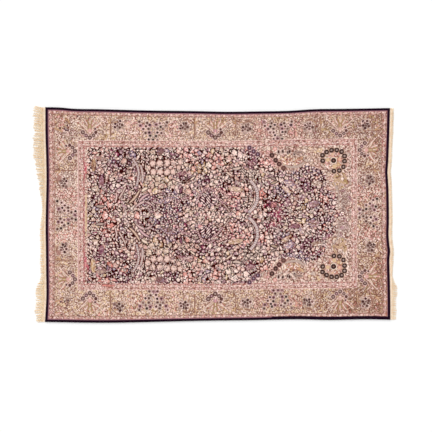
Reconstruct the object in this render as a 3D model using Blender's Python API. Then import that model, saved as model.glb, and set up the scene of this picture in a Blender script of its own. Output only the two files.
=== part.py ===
"""A hand-knotted Persian rug that lies flat, seen from above with its length along X.

Metres, +Z up. The rug rests on z = 0, with its origin under the middle of its outline box.
Its pieces are the knotted body, a dark side cord overcast along each long edge, and at
each end a flatwoven cotton strip whose loose warp ends are the fringe. Every edge has the
slight bows and kinks of an old rug, so each piece is worked out on a straight rectangle
first and then laid along the uneven edges.
"""

import math
import random

import bmesh
import bpy
import numpy as np

# The knotted body: pile and foundation are one cloth.
BODY_LENGTH = 2.130
BODY_WIDTH = 1.294
BODY_THICK = 0.008
RIM_ROUND = 0.0024
RIM_STEPS = 2
LONG_SPANS = 40  # straight stretches along each long edge

# The overcast side cords, flattened where they lie on the floor.
CORD_WIDTH = 0.0074
CORD_HEIGHT = 0.0072
CORD_SIDES = 8

# The flatwoven end strips and their fringe.
STRIP_WIDTH = 0.014
STRIP_THICK = 0.0032
LOCKS = 96  # locks of warp ends at each end of the rug
LOCKS_PER_SPAN = 2  # locks along one straight stretch of an end edge
LOCK_GAP = 0.0016  # between two roots
TIP_SHARE = 0.42  # a tip's width as a share of its root's
TIP_THICK = 0.0018
LONG_LOCK = 0.030  # a lock longer than this bends twice on its way
LENGTH_SPREAD = 0.13  # a lock's length differs this much from its neighbours'
LEAN_SPREAD = 1.6  # degrees
PAIR_PULL = 0.0022  # how far a tip is drawn to its pair's other tip
FRINGE_SEED = 11

SEAM = 0.0003  # left open between two pieces that touch

# How far each edge lies outside its straight line, in millimetres, at places measured in
# metres from the middle of the rug.
UPPER_EDGE = (  # along_m, out_mm
    (-1.065, 17.0),
    (-0.975, 15.0),
    (-0.900, 8.0),
    (-0.750, 5.0),
    (-0.450, -3.0),
    (-0.150, -7.0),
    (0.060, -11.0),
    (0.250, -9.0),
    (0.450, -5.0),
    (0.580, 3.5),
    (0.800, 7.0),
    (1.065, 11.5),
)
LOWER_EDGE = (  # along_m, out_mm
    (-1.065, 6.0),
    (-0.680, 11.0),
    (-0.450, 7.0),
    (-0.300, 3.5),
    (-0.100, -1.0),
    (0.200, -5.0),
    (0.550, -10.0),
    (0.660, -7.0),
    (0.950, -10.5),
    (1.065, -8.0),
)
LEFT_EDGE = (  # across_m, out_mm
    (-0.647, 5.0),
    (-0.590, 1.5),
    (-0.520, -2.2),
    (-0.340, -1.4),
    (-0.200, 0.0),
    (-0.090, 1.7),
    (0.060, -0.4),
    (0.220, -3.7),
    (0.380, -1.0),
    (0.500, 2.6),
    (0.647, 3.4),
)
RIGHT_EDGE = (  # across_m, out_mm
    (-0.647, 6.3),
    (-0.560, 6.2),
    (-0.440, 4.4),
    (-0.330, 1.0),
    (-0.285, 0.6),
    (-0.238, 5.0),
    (-0.195, 0.2),
    (-0.140, -4.4),
    (-0.060, -2.5),
    (0.060, -3.2),
    (0.160, -5.6),
    (0.215, -8.8),
    (0.255, -11.5),
    (0.305, -7.6),
    (0.400, -3.4),
    (0.500, 0.0),
    (0.647, 4.0),
)

# How far the fringe reaches out from the strip, and which way it leans: a positive lean
# is towards the upper edge.
LEFT_FRINGE = (  # across_m, reach_mm, lean_deg
    (-0.655, 34.0, -14.0),
    (-0.610, 46.0, -10.0),
    (-0.580, 54.0, -4.0),
    (-0.540, 46.0, 6.0),
    (-0.500, 50.0, 3.0),
    (-0.440, 45.0, -6.0),
    (-0.400, 26.0, -4.0),
    (-0.290, 24.0, 4.0),
    (-0.190, 21.0, 6.0),
    (-0.060, 19.0, -3.0),
    (0.010, 12.0, -4.0),
    (0.110, 16.0, -8.0),
    (0.160, 28.0, -12.0),
    (0.215, 33.0, -10.0),
    (0.260, 47.0, -6.0),
    (0.310, 50.0, 4.0),
    (0.360, 60.0, 6.0),
    (0.460, 60.0, 2.0),
    (0.560, 57.0, 9.0),
    (0.620, 61.0, 12.0),
    (0.655, 52.0, 15.0),
)
RIGHT_FRINGE = (  # across_m, reach_mm, lean_deg
    (-0.655, 22.0, -10.0),
    (-0.600, 24.0, -6.0),
    (-0.530, 23.0, -4.0),
    (-0.480, 31.0, -12.0),
    (-0.450, 30.0, -12.0),
    (-0.425, 15.0, -6.0),
    (-0.300, 12.0, 2.0),
    (-0.100, 10.0, 5.0),
    (0.200, 9.0, -5.0),
    (0.400, 10.0, 4.0),
    (0.600, 12.0, 8.0),
    (0.655, 11.0, 10.0),
)

COLOURS = {  # sRGB and roughness
    "wool_pile": ("b8958a", 0.92),
    "side_wool": ("1f1020", 0.85),
    "cotton_warp": ("e6cbab", 0.90),
}


def column(table, at, number=1):
    """A column of a table at these places, on a smooth curve through its rows."""
    rows = np.array(table)
    places, values = rows[:, 0], rows[:, number]
    slopes = np.gradient(values, places)
    at = np.clip(np.asarray(at, float), places[0], places[-1])
    row = np.clip(np.searchsorted(places, at) - 1, 0, len(places) - 2)
    span = places[row + 1] - places[row]
    t = (at - places[row]) / span
    ease = t * t * (3 - 2 * t)
    return (
        values[row] * (1 - ease)
        + values[row + 1] * ease
        + span * slopes[row] * t * (1 - t) ** 2
        - span * slopes[row + 1] * t * t * (1 - t)
    )


def long_edge(x, side):
    """Y of a long edge of the body at x: side is 1 for the upper edge, -1 for the lower."""
    table = UPPER_EDGE if side > 0 else LOWER_EDGE
    return side * (BODY_WIDTH / 2 + column(table, x) / 1000)


def end_edge(y, side):
    """X of an end of the body at y: side is 1 for the right end, -1 for the left."""
    table = RIGHT_EDGE if side > 0 else LEFT_EDGE
    return side * (BODY_LENGTH / 2 + column(table, y) / 1000)


def along_places():
    return np.linspace(-BODY_LENGTH / 2, BODY_LENGTH / 2, LONG_SPANS + 1)


def across_places():
    spans = LOCKS // LOCKS_PER_SPAN
    return np.linspace(-BODY_WIDTH / 2, BODY_WIDTH / 2, spans + 1)


def stretch(places, low, high):
    """Places that ran from end to end of a straight edge, moved to run from low to high."""
    return low + (places - places[0]) * (high - low) / (places[-1] - places[0])


def body_corner(side_x, side_y):
    x, y = side_x * BODY_LENGTH / 2, side_y * BODY_WIDTH / 2
    return end_edge(y, side_x), long_edge(x, side_y)


def end_line(side):
    """The points of an end edge, from the lower corner to the upper."""
    low, high = body_corner(side, -1), body_corner(side, 1)
    y = across_places()
    return np.column_stack((end_edge(y, side), stretch(y, low[1], high[1])))


def long_line(side):
    """The points of a long edge, from the left corner to the right."""
    low, high = body_corner(-1, side), body_corner(1, side)
    x = along_places()
    return np.column_stack((stretch(x, low[0], high[0]), long_edge(x, side)))


def outline(inset):
    """The body's outline, anticlockwise from the lower left corner, drawn in by inset."""
    lower, right = long_line(-1), end_line(1)
    upper, left = long_line(1)[::-1], end_line(-1)[::-1]
    inward = ((0, inset), (-inset, 0), (0, -inset), (inset, 0))
    sides = [np.array(line) for line in (lower, right, upper, left)]
    for k, line in enumerate(sides):
        line += inward[k]
        line[0] += inward[k - 1]
        line[-1] += inward[(k + 1) % 4]
    return np.concatenate([line[:-1] for line in sides])


def material(name):
    colour, roughness = COLOURS[name]
    made = bpy.data.materials.get(name)
    if made is None:
        made = bpy.data.materials.new(name)
        made.use_nodes = True
        shader = made.node_tree.nodes["Principled BSDF"]
        srgb = [int(colour[k : k + 2], 16) / 255 for k in (0, 2, 4)]
        linear = [((c + 0.055) / 1.055) ** 2.4 if c > 0.04 else c / 12.92 for c in srgb]
        shader.inputs["Base Color"].default_value = (*linear, 1)
        shader.inputs["Roughness"].default_value = roughness
        made.diffuse_color = (*linear, 1)
    return made


def add_piece(name, bm, finish, parent):
    """Turns a bmesh into a named object of this material."""
    bmesh.ops.recalc_face_normals(bm, faces=bm.faces)
    mesh = bpy.data.meshes.new(name)
    bm.to_mesh(mesh)
    bm.free()
    mesh.materials.append(material(finish))
    piece = bpy.data.objects.new(name, mesh)
    bpy.context.scene.collection.objects.link(piece)
    piece.parent = parent
    return piece


def loft(bm, rings):
    """Joins closed rings of points into one solid and returns its side faces, by ring."""
    loops = [[bm.verts.new(point) for point in ring] for ring in rings]
    sides = [
        [bm.faces.new((a[k - 1], a[k], b[k], b[k - 1])) for k in range(len(a))]
        for a, b in zip(loops, loops[1:])
    ]
    bm.faces.new(loops[0])
    bm.faces.new(loops[-1])
    return sides


def knotted_body(parent):
    """A slab with the rug's uneven outline and a rounded upper rim, flat underneath."""
    levels = [(0.0, 0.0), (0.0, BODY_THICK - RIM_ROUND)]
    for step in range(1, RIM_STEPS + 1):
        turn = math.pi / 2 * step / RIM_STEPS
        inset = RIM_ROUND * (1 - math.cos(turn))
        levels.append((inset, BODY_THICK - RIM_ROUND * (1 - math.sin(turn))))
    bm = bmesh.new()
    loft(bm, [[(x, y, z) for x, y in outline(inset)] for inset, z in levels])
    return add_piece("knotted_body", bm, "wool_pile", parent)


def side_cord(name, side, parent):
    """A round cord along a long edge, flat where it lies on the floor."""
    bm = bmesh.new()
    rings = []
    for x, y in long_line(side):
        middle = y + side * (SEAM + CORD_WIDTH / 2)
        ring = []
        for k in range(CORD_SIDES):
            turn = 2 * math.pi * (k + 0.5) / CORD_SIDES
            wide = math.sin(turn) / math.cos(math.pi / CORD_SIDES)
            high = math.cos(turn) / math.cos(math.pi / CORD_SIDES)
            ring.append((x, middle + wide * CORD_WIDTH / 2, (high + 1) * CORD_HEIGHT / 2))
        rings.append(ring)
    loft(bm, rings)
    return add_piece(name, bm, "side_wool", parent)


def lock_points(root, length, lean, pull, side):
    """The four corners of each joint of a lock, from just past its root to its tip.

    root holds the corners of the lock's root face. The lock's underside stays on the floor.
    """
    middle = sum(y for _, y, _ in root) / 4
    joints = 3 if length > LONG_LOCK else 1
    for joint in range(1, joints + 1):
        t = joint / joints
        slim = 1 - (1 - TIP_SHARE) * t**1.5
        high = STRIP_THICK + (TIP_THICK - STRIP_THICK) * t
        sway = math.tan(lean) * length * t**1.4 + pull * t * t
        yield [
            (
                x + side * length * t,
                middle + (y - middle) * slim + sway,
                high if z > 0 else 0.0,
            )
            for x, y, z in root
        ]


def fringed_end(name, side, fringe, parent):
    """A flatwoven strip along an end of the body, with its locks of loose warp ends."""
    edge = end_line(side)
    past_corner = np.array((0.0, CORD_WIDTH))
    pitch = (edge[-1, 1] - edge[0, 1]) / LOCKS
    edge = np.vstack((edge[0] - past_corner, edge, edge[-1] + past_corner))
    chance = random.Random(FRINGE_SEED + side)
    ys = [edge[0, 1]]
    for lock in range(LOCKS):
        start = edge[1, 1] + pitch * lock
        ys += [start + LOCK_GAP / 2, start + pitch - LOCK_GAP / 2]
    ys.append(edge[-1, 1])
    inner = np.interp(ys, edge[:, 1], edge[:, 0]) + side * SEAM
    outer = inner + side * STRIP_WIDTH
    bm = bmesh.new()
    faces = loft(
        bm,
        [
            ((a, y, 0), (b, y, 0), (b, y, STRIP_THICK), (a, y, STRIP_THICK))
            for a, b, y in zip(inner, outer, ys)
        ],
    )
    for lock in range(LOCKS):
        root_face = faces[2 * lock + 1][2]
        at = np.mean([v.co.y for v in root_face.verts])
        reach = float(column(fringe, at, 1)) / 1000
        reach *= 1 + chance.uniform(-LENGTH_SPREAD, LENGTH_SPREAD)
        lean = float(column(fringe, at, 2)) + chance.uniform(-LEAN_SPREAD, LEAN_SPREAD)
        pull = PAIR_PULL if lock % 2 == 0 else -PAIR_PULL
        root = [tuple(v.co) for v in root_face.verts]
        face = root_face
        for corners in lock_points(root, reach, math.radians(lean), pull, side):
            face = bmesh.ops.extrude_discrete_faces(bm, faces=[face])["faces"][0]
            for vert, place in zip(face.verts, corners):
                vert.co = place
    return add_piece(name, bm, "cotton_warp", parent)


def middle_of_box(pieces):
    """X and Y of the middle of the box round all the pieces."""
    points = np.array([v.co[:2] for piece in pieces for v in piece.data.vertices])
    return (points.min(axis=0) + points.max(axis=0)) / 2


for old in list(bpy.data.objects):
    bpy.data.objects.remove(old)

rug = bpy.data.objects.new("rug", None)
bpy.context.scene.collection.objects.link(rug)
rug_pieces = (
    knotted_body(rug),
    side_cord("side_cord_upper", 1, rug),
    side_cord("side_cord_lower", -1, rug),
    fringed_end("fringed_end_left", -1, LEFT_FRINGE, rug),
    fringed_end("fringed_end_right", 1, RIGHT_FRINGE, rug),
)
box_x, box_y = middle_of_box(rug_pieces)
rug.location = (-box_x, -box_y, 0)
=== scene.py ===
import math
import random

import bmesh
import bpy
import numpy as np
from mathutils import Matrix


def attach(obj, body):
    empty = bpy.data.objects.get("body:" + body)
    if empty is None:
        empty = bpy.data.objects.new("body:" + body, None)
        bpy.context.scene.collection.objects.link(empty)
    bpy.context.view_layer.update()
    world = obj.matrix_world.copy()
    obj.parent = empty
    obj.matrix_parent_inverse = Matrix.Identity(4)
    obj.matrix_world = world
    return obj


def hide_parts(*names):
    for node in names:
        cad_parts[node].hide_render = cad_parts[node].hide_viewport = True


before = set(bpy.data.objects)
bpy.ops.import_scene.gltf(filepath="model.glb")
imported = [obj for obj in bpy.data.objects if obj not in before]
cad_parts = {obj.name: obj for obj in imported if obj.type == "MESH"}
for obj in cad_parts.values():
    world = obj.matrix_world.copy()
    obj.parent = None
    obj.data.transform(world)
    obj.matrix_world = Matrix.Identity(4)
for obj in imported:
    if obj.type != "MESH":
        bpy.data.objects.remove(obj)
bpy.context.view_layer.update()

# ---- Knotted pile ----
# The face of the rug: short wool knots tied row by row on cotton warps, sheared level. Dark
# iron-dyed wool has worn a little lower than the rest. It is knotted from a chart that is
# painted for one half and mirrored along the rug's middle, with a weaver's small differences.
BODY_LENGTH = 2.130
BODY_WIDTH = 1.294
PILE_TOP = 0.0080
CLOTH_TOP = 0.0030
RIM_ROUND = 0.0024
RIM_REACH = 0.0026
DARK_WEAR = 0.0006
SHEARING = 0.00012
RUG_X = 0.0149  # the middle of the straight rug
RUG_Y = -0.0032
CALM_ACROSS = 0.455  # this near the long axis the pattern doesn't follow the bowed sides
CALM_ALONG = 0.865
STRIPS = 5  # the pile is made in lengthwise strips

# How far each edge lies outside its straight line, at places from the middle of the rug.
UPPER_EDGE = (  # along in m, out in mm
    (-1.065, 17.0), (-0.975, 15.0), (-0.900, 8.0), (-0.750, 5.0), (-0.450, -3.0), (-0.150, -7.0),
    (0.060, -11.0), (0.250, -9.0), (0.450, -5.0), (0.580, 3.5), (0.800, 7.0), (1.065, 11.5),
)
LOWER_EDGE = (
    (-1.065, 6.0), (-0.680, 11.0), (-0.450, 7.0), (-0.300, 3.5), (-0.100, -1.0), (0.200, -5.0),
    (0.550, -10.0), (0.660, -7.0), (0.950, -10.5), (1.065, -8.0),
)
LEFT_EDGE = (  # across in m, out in mm
    (-0.647, 5.0), (-0.590, 1.5), (-0.520, -2.2), (-0.340, -1.4), (-0.200, 0.0), (-0.090, 1.7),
    (0.060, -0.4), (0.220, -3.7), (0.380, -1.0), (0.500, 2.6), (0.647, 3.4),
)
RIGHT_EDGE = (
    (-0.647, 6.3), (-0.560, 6.2), (-0.440, 4.4), (-0.330, 1.0), (-0.285, 0.6), (-0.238, 5.0),
    (-0.195, 0.2), (-0.140, -4.4), (-0.060, -2.5), (0.060, -3.2), (0.160, -5.6), (0.215, -8.8),
    (0.255, -11.5), (0.305, -7.6), (0.400, -3.4), (0.500, 0.0), (0.647, 4.0),
)
AXIS_DRIFT = (  # along in m, how far the pattern's middle line strays up in mm
    (-1.065, 1.0), (-0.400, 0.5), (0.000, -1.0), (0.390, 7.0), (0.800, 13.0), (1.065, 14.6),
)


def column(table, at, number=1):
    """A column of a table at these places, on a smooth curve through its rows."""
    rows = np.array(table)
    places, values = rows[:, 0], rows[:, number]
    slopes = np.gradient(values, places)
    at = np.clip(np.asarray(at, float), places[0], places[-1])
    row = np.clip(np.searchsorted(places, at) - 1, 0, len(places) - 2)
    span = places[row + 1] - places[row]
    t = (at - places[row]) / span
    ease = t * t * (3 - 2 * t)
    return (values[row] * (1 - ease) + values[row + 1] * ease
            + span * slopes[row] * t * (1 - t) ** 2 - span * slopes[row + 1] * t * t * (1 - t))


def laid_out(x, y):
    """Where places of the straight rug are on the uneven one that lies on the floor."""
    ramp = np.clip((np.abs(y) - CALM_ACROSS) / (BODY_WIDTH / 2 - CALM_ACROSS), 0, 1)
    edge = np.where(y > 0, column(UPPER_EDGE, x), -column(LOWER_EDGE, x))
    end = np.where(x < 0, -column(LEFT_EDGE, y), column(RIGHT_EDGE, y))
    fade = np.clip((np.abs(x) - CALM_ALONG) / (BODY_LENGTH / 2 - CALM_ALONG), 0, 1)
    return (x + end * fade / 1000 + RUG_X,
            y + (column(AXIS_DRIFT, x) * (1 - ramp) + edge * ramp) / 1000 + RUG_Y)


def linear(srgb):
    """A hex sRGB colour as linear red, green and blue."""
    part = np.array([int(srgb[k:k + 2], 16) for k in (0, 2, 4)]) / 255
    return np.where(part > 0.04045, ((part + 0.055) / 1.055) ** 2.4, part / 12.92)


def add_node(tree, kind, inputs=(), stops=(), **settings):
    """A node with its settings and colour stops, and each input set to a value or linked to an output."""
    node = tree.nodes.new(kind)
    for name, value in settings.items():
        setattr(node, name, value)
    for number, (position, srgb) in enumerate(stops):
        node.color_ramp.elements[number].position = position
        node.color_ramp.elements[number].color = (*linear(srgb), 1)
    for name, value in dict(inputs).items():
        if isinstance(value, bpy.types.NodeSocket):
            tree.links.new(value, node.inputs[name])
        else:
            node.inputs[name].default_value = value
    return node


def finished(name, colour, height, strength, depth, shader_inputs):
    """A material whose colour and height come from nodes that the caller's functions make."""
    material = bpy.data.materials.new(name)
    material.use_nodes = True
    tree = material.node_tree
    shader = tree.nodes["Principled BSDF"]
    for key, value in shader_inputs.items():
        shader.inputs[key].default_value = value
    place = add_node(tree, "ShaderNodeTexCoord").outputs["Object"]
    bump = add_node(tree, "ShaderNodeBump", {"Height": height(tree, place), "Strength": strength,
                                             "Distance": depth})
    tree.links.new(colour(tree, place), shader.inputs["Base Color"])
    tree.links.new(bump.outputs["Normal"], shader.inputs["Normal"])
    return material


def mesh_of(bm, name):
    """The finished mesh of a bmesh."""
    mesh = bpy.data.meshes.new(name)
    bm.to_mesh(mesh)
    bm.free()
    return mesh


def values_of(items, key, width=3, kind=float):
    """A mesh's own values, one row to each item."""
    found = np.zeros(len(items) * width, kind)
    items.foreach_get(key, found)
    return found.reshape(-1, width) if width > 1 else found


def lay(mesh, x, y, z):
    """Puts a mesh of the straight rug where the uneven one lies."""
    mesh.vertices.foreach_set("co", np.column_stack((*laid_out(x, y), z)).ravel())
    mesh.update()


def make_piece(name, mesh, material):
    """A finished mesh as a piece of the rug: its place is in its vertices."""
    mesh.materials.append(material)
    piece = bpy.data.objects.new(name, mesh)
    bpy.context.scene.collection.objects.link(piece)
    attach(piece, "root")
    return piece


# The dyed yarns of the pile, as wear and light have left them.
KNOT_YARNS = {
    "ink": "200a1c", "aubergine": "340604", "night": "4c2c2a", "umber": "682f28", "walnut": "83594c",
    "bark": "9d7565", "tan": "b99481", "sand": "ccac9a", "cream": "e6ccba", "ivory": "fbe6da",
    "shell": "fbe0d7", "blush": "ebcbc1", "rose": "d6a99d", "dusk": "b1837b", "coral": "da9b90",
    "brick": "ae6558", "crimson": "8f464f", "plum": "734253", "mauve": "9b6c76", "lilac": "b78e94",
    "mist": "e0bfb8", "slate": "805d56", "indigo": "593a40", "dove": "a48b83", "fog": "bfa69b",
    "olive": "aa8b60", "moss": "7c5c48", "ochre": "be936f", "gold": "dab893", "madder": "af867d",
    "pink": "d99a98", "faded": "cca094", "iris": "a08a9b", "magenta": "984560", "smoke": "603e38",
    "petal": "dfbdb0", "salmon": "db8e83", "pewter": "b2a1a2",
    "navy": "3c2824", "garnet": "b06c6c", "cerise": "b8405a",
}
YARN = {name: number for number, name in enumerate(KNOT_YARNS)}
KNOT_COLUMNS = 800
KNOT_ROWS = 500
LONG = 1000 * BODY_LENGTH  # the chart is drawn in millimetres of the straight rug
WIDE = 1000 * BODY_WIDTH
ALONG = (np.arange(KNOT_COLUMNS) + 0.5) * (LONG / KNOT_COLUMNS) - LONG / 2
OUT = (np.arange(KNOT_ROWS // 2) + 0.5) * (WIDE / KNOT_ROWS)


def rows_of(text):
    """Rows written as words, with a comma between rows: numbers, names, and a dash for none."""
    return [tuple(int(word) if word.lstrip("-").isdigit() else None if word == "-" else word
                  for word in row.split()) for row in text.split(",")]


def one_of(yarns, chance):
    """One yarn of several, drawn by chance."""
    return chance.choice(yarns.split())


def window(x, y, reach):
    """The knots within reach of a place, with their distances along and out from it."""
    c0, c1 = np.searchsorted(ALONG, (x - reach, x + reach))
    r0, r1 = np.searchsorted(OUT, (y - reach, y + reach))
    return np.s_[r0:r1, c0:c1], ALONG[None, c0:c1] - x, OUT[r0:r1, None] - y


def spot(half, x, y, size, yarn, heart=None, share=0.42):
    """A round flower or dot, with a heart that takes this share of its width."""
    for wide, name in ((size, yarn), (size * share, heart)):
        if name:
            at, dx, dy = window(x, y, wide / 2)
            half[at][dx * dx + dy * dy < wide * wide / 4] = YARN[name]


def tile(half, x, y, *layers):
    """Squares with their corners taken off, one on another: size and yarn of each."""
    for size, yarn in layers:
        at, dx, dy = window(x, y, size / 2)
        half[at][np.abs(dx) + np.abs(dy) < size * 0.74] = YARN[yarn]


def leaf(half, x, y, length, width, turn, yarn, vein=None, edge=None, bend=0.0, rim=5.5):
    """An oval, turned in degrees and bent sideways, with a vein and an edge if they have a yarn."""
    at, dx, dy = window(x, y, length / 2 + rim + abs(bend))
    c, s = math.cos(math.radians(turn)), math.sin(math.radians(turn))
    along = dx * c + dy * s
    across = np.abs(dy * c - dx * s + bend * ((2 * along / length) ** 2 - 0.4))
    far = np.abs(along)
    for name, grown in ((edge, rim), (yarn, 0)):
        if name:
            reach = np.sqrt(np.clip(1 - (far / (length / 2 + grown)) ** 2, 0, 1))
            half[at][across < (width / 2 + grown) * reach] = YARN[name]
    if vein:
        half[at][(across < max(1.6, width * 0.11)) & (far < length * 0.4)] = YARN[vein]


SLIVER_AREA = 58  # mm2 of a spray to each of its slivers


def spray(half, x, y, length, width, turn, yarns, chance):
    """A large leaf made of slivers."""
    c, s = math.cos(math.radians(turn)), math.sin(math.radians(turn))
    leaf(half, x, y, length, width, turn, yarns[0], edge="umber", rim=2.6)
    for _ in range(int(length * width / SLIVER_AREA)):
        a = chance.uniform(-1, 1)
        b = chance.uniform(-1, 1) * math.sqrt(1 - a * a)
        a, b = a * length * 0.46, b * width * 0.42
        leaf(half, x + a * c - b * s, y + a * s + b * c, chance.uniform(12, 22), 4.4,
             turn + chance.uniform(-50, 50), chance.choice(yarns),
             edge=chance.choice((None, None, None, "walnut")), rim=2)


def smooth(points, steps):
    """More points on a smooth curve through these."""
    pts = np.array(points, float)
    pts = np.vstack((2 * pts[0] - pts[1], pts, 2 * pts[-1] - pts[-2]))
    t = np.linspace(0, 1, steps, endpoint=False)[:, None]
    found = [0.5 * (2 * b + (c - a) * t + (2 * a - 5 * b + 4 * c - d) * t**2 + (3 * b - a - 3 * c + d) * t**3)
             for a, b, c, d in zip(pts, pts[1:], pts[2:], pts[3:])]
    return np.vstack(found + [pts[-2:-1]])


def vine(half, points, width, yarn, edge=None, heart=None, rim=3.8, steps=8):
    """A stem on a smooth curve through its points."""
    curve = smooth(points, steps)
    for name, wide in ((edge, width / 2 + rim), (yarn, width / 2), (heart, width * 0.15)):
        if not name:
            continue
        for a, b in zip(curve, curve[1:]):
            middle, d = (a + b) / 2, b - a
            long = max(float(np.hypot(*d)), 1e-6)
            at, dx, dy = window(middle[0], middle[1], long / 2 + wide)
            t = np.clip((dx * d[0] + dy * d[1]) / long**2, -0.5, 0.5)
            half[at][np.hypot(dx - d[0] * t, dy - d[1] * t) < wide] = YARN[name]


# Families of colour: weight, petal, petal tip and heart. The border's are those with b_.
FAMILIES = {name: rows_of(rows) for name, rows in {
    "mixed": "22 petal shell dusk, 18 rose blush dusk, 14 faded petal brick, 6 sand cream walnut, "
             "6 blush ivory tan, 12 lilac mist plum, 4 coral blush brick, 8 mauve mist plum, "
             "10 mist shell mauve, 6 dusk petal umber, 2 gold cream brick",
    "pale": "20 petal shell dusk, 14 blush ivory rose, 6 sand shell tan, 12 mist shell mauve, "
            "12 faded petal brick",
    "cream": "16 sand shell olive, 14 cream shell walnut, 6 gold cream bark, 14 rose shell dusk",
    "blush": "30 petal blush dusk",
    "coral": "22 coral blush crimson, 12 coral shell brick, 14 rose blush brick, 8 pink shell crimson",
    "salmon": "14 salmon shell crimson, 8 pink shell cerise, 12 coral blush crimson, 6 rose shell brick",
    "orange": "8 ochre cream brick, 14 rose cream bark, 10 coral cream brick, 14 faded cream coral, "
              "5 gold shell brick",
    "gold": "7 ochre cream brick, 16 sand cream bark, 9 gold shell ochre, 16 rose cream dusk",
    "purple": "18 mauve mist plum, 8 lilac shell plum, 8 plum lilac mist, 8 faded mist plum, "
              "5 magenta mist plum",
    "lilac": "14 lilac mist slate, 12 iris mist plum, 8 mist shell mauve, 9 mauve mist night, "
             "7 faded shell mauve",
    "crimson": "8 crimson blush shell, 10 magenta blush shell, 12 pink shell crimson, "
               "8 dusk blush crimson, 8 rose shell crimson",
    "grey": "14 fog shell slate, 12 iris mist slate, 6 dove cream slate, 6 sand shell moss",
    "slate": "16 iris mist indigo, 8 slate mist aubergine, 8 lilac mist slate",
    "green": "14 fog cream moss, 10 sand shell olive, 6 dove cream moss",
    "berries": "14 lilac mist plum, 8 rose shell plum, 12 mauve mist plum, 7 pink blush crimson, "
               "7 faded mist plum, 12 iris mist plum, 5 magenta blush shell, 5 plum iris mist",
    "violet": "16 mauve lilac plum, 14 plum mauve mist, 8 mauve mist plum, 4 iris mist plum",
    "hot": "20 salmon coral crimson, 8 salmon blush cerise, 6 coral shell crimson, 4 pink coral cerise",
    "magenta": "14 magenta blush crimson, 9 plum pink shell, 8 crimson pink shell, 7 mauve blush plum, "
               "4 cerise pink plum",
    "b_rose": "18 rose blush dusk, 14 pink blush brick, 8 blush cream dusk, 9 faded blush umber, "
              "11 coral cream brick",
    "b_tan": "22 sand cream bark, 12 gold cream olive, 8 gold shell bark, 10 tan cream walnut, "
             "8 fog cream moss",
    "b_dove": "24 fog cream slate, 14 dove fog slate, 8 mist cream dusk, 7 lilac fog slate",
    "b_mixed": "12 rose cream dusk, 12 cream shell tan, 14 sand cream bark, 9 faded blush brick, "
               "10 fog cream dove, 5 blush cream dusk",
    "b_warm": "12 rose cream bark, 20 gold cream olive, 16 sand cream bark, 9 faded blush brick, "
              "12 gold cream ochre, 5 blush cream olive",
    "b_peach": "16 rose cream dusk, 10 coral cream brick, 10 gold cream brick, 8 faded gold brick, "
               "5 salmon blush brick",
    "b_stone": "18 fog cream moss, 14 sand cream slate, 8 gold cream olive, 6 dove sand slate",
    "b_coral": "14 coral blush brick, 10 salmon blush garnet, 14 rose cream brick, 8 pink cream brick, "
               "8 faded blush umber",
    "b_rust": "8 coral gold brick, 12 ochre sand walnut, 12 olive gold moss, 14 tan sand umber, "
              "8 brick rose umber, 8 rose tan umber",
    "b_deep": "16 tan sand walnut, 12 olive gold moss, 12 rose tan umber, 8 dusk rose umber, "
              "8 dove sand slate",
    "b_orange": "12 coral blush brick, 12 rose cream brick, 14 gold cream bark, 8 sand cream dusk, "
                "9 ochre gold brick",
    "b_olive": "16 sand gold moss, 12 gold cream olive, 11 olive gold moss, 9 fog cream moss, "
               "6 cream shell olive",
    "inner": "12 faded shell dusk, 14 petal ivory dusk, 10 rose blush brick, 4 sand cream bark, "
             "5 mist shell mauve",
    "outer": "16 madder petal walnut, 12 faded rose dusk, 12 dusk rose umber, 8 mist petal mauve, "
             "10 sand petal bark, 6 olive sand walnut",
    "side": "14 madder petal walnut, 12 tan sand walnut, 12 dusk rose umber, 8 olive sand moss, "
            "8 dove mist slate",
    "deep": "16 madder rose walnut, 12 dusk rose umber, 14 bark tan umber, 5 faded petal walnut, "
            "6 olive tan walnut",
}.items()}


def pick(family, chance):
    """The petal, tip and heart yarns of a flower of this family."""
    draw = chance.random() * sum(row[0] for row in FAMILIES[family])
    for weight, *yarns in FAMILIES[family]:
        draw -= weight
        if draw <= 0:
            break
    return yarns


def ripples(seed, step, reach):
    """A smooth unevenness over the half chart, so that hand-knotted shapes waver."""
    nodes = (OUT.size // step + 3, ALONG.size // step + 3)
    coarse = np.random.RandomState(seed).uniform(-reach, reach, nodes)
    r, c = np.arange(OUT.size) / step, np.arange(ALONG.size) / step
    ri, ci = r.astype(int), c.astype(int)
    rt, ct = (r - ri)[:, None], (c - ci)[None, :]
    rt, ct = rt * rt * (3 - 2 * rt), ct * ct * (3 - 2 * ct)
    upper = coarse[ri][:, ci] * (1 - ct) + coarse[ri][:, ci + 1] * ct
    lower = coarse[ri + 1][:, ci] * (1 - ct) + coarse[ri + 1][:, ci + 1] * ct
    return upper * (1 - rt) + lower * rt


HALF_KNOT = 1.3


def sow(flowers, mask, beds, tries, chance, close=0.86, small=1.0):
    """Adds flowers between those there are. A flower is x, y, size, petal, tip, heart."""
    found = list(flowers)
    places = np.zeros((len(found) + tries, 3))
    places[:len(found)] = [row[:3] for row in found] if found else 0
    rows, columns = np.nonzero(mask)
    for _ in range(tries):
        k = chance.randrange(rows.size)
        x = ALONG[columns[k]] + chance.uniform(-HALF_KNOT, HALF_KNOT)
        y = OUT[rows[k]] + chance.uniform(-HALF_KNOT, HALF_KNOT)
        family, size = beds[-1]
        for bx, by, rx, ry, name, wide in beds[:-1]:
            d = ((x - bx) / rx) ** 2 + ((y - by) / ry) ** 2
            if d < 1 and chance.random() < 1.5 - 0.8 * d:  # a bed thins out at its edge
                family, size = name, wide
                break
        size *= chance.uniform(0.80, 1.18) * small
        near = places[:len(found)]
        if len(found) and (np.hypot(near[:, 0] - x, near[:, 1] - y) < (near[:, 2] + size) / 2 * close).any():
            continue
        places[len(found)] = x, y, size
        found.append((x, y, size, *pick(family, chance)))
    return found


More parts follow.
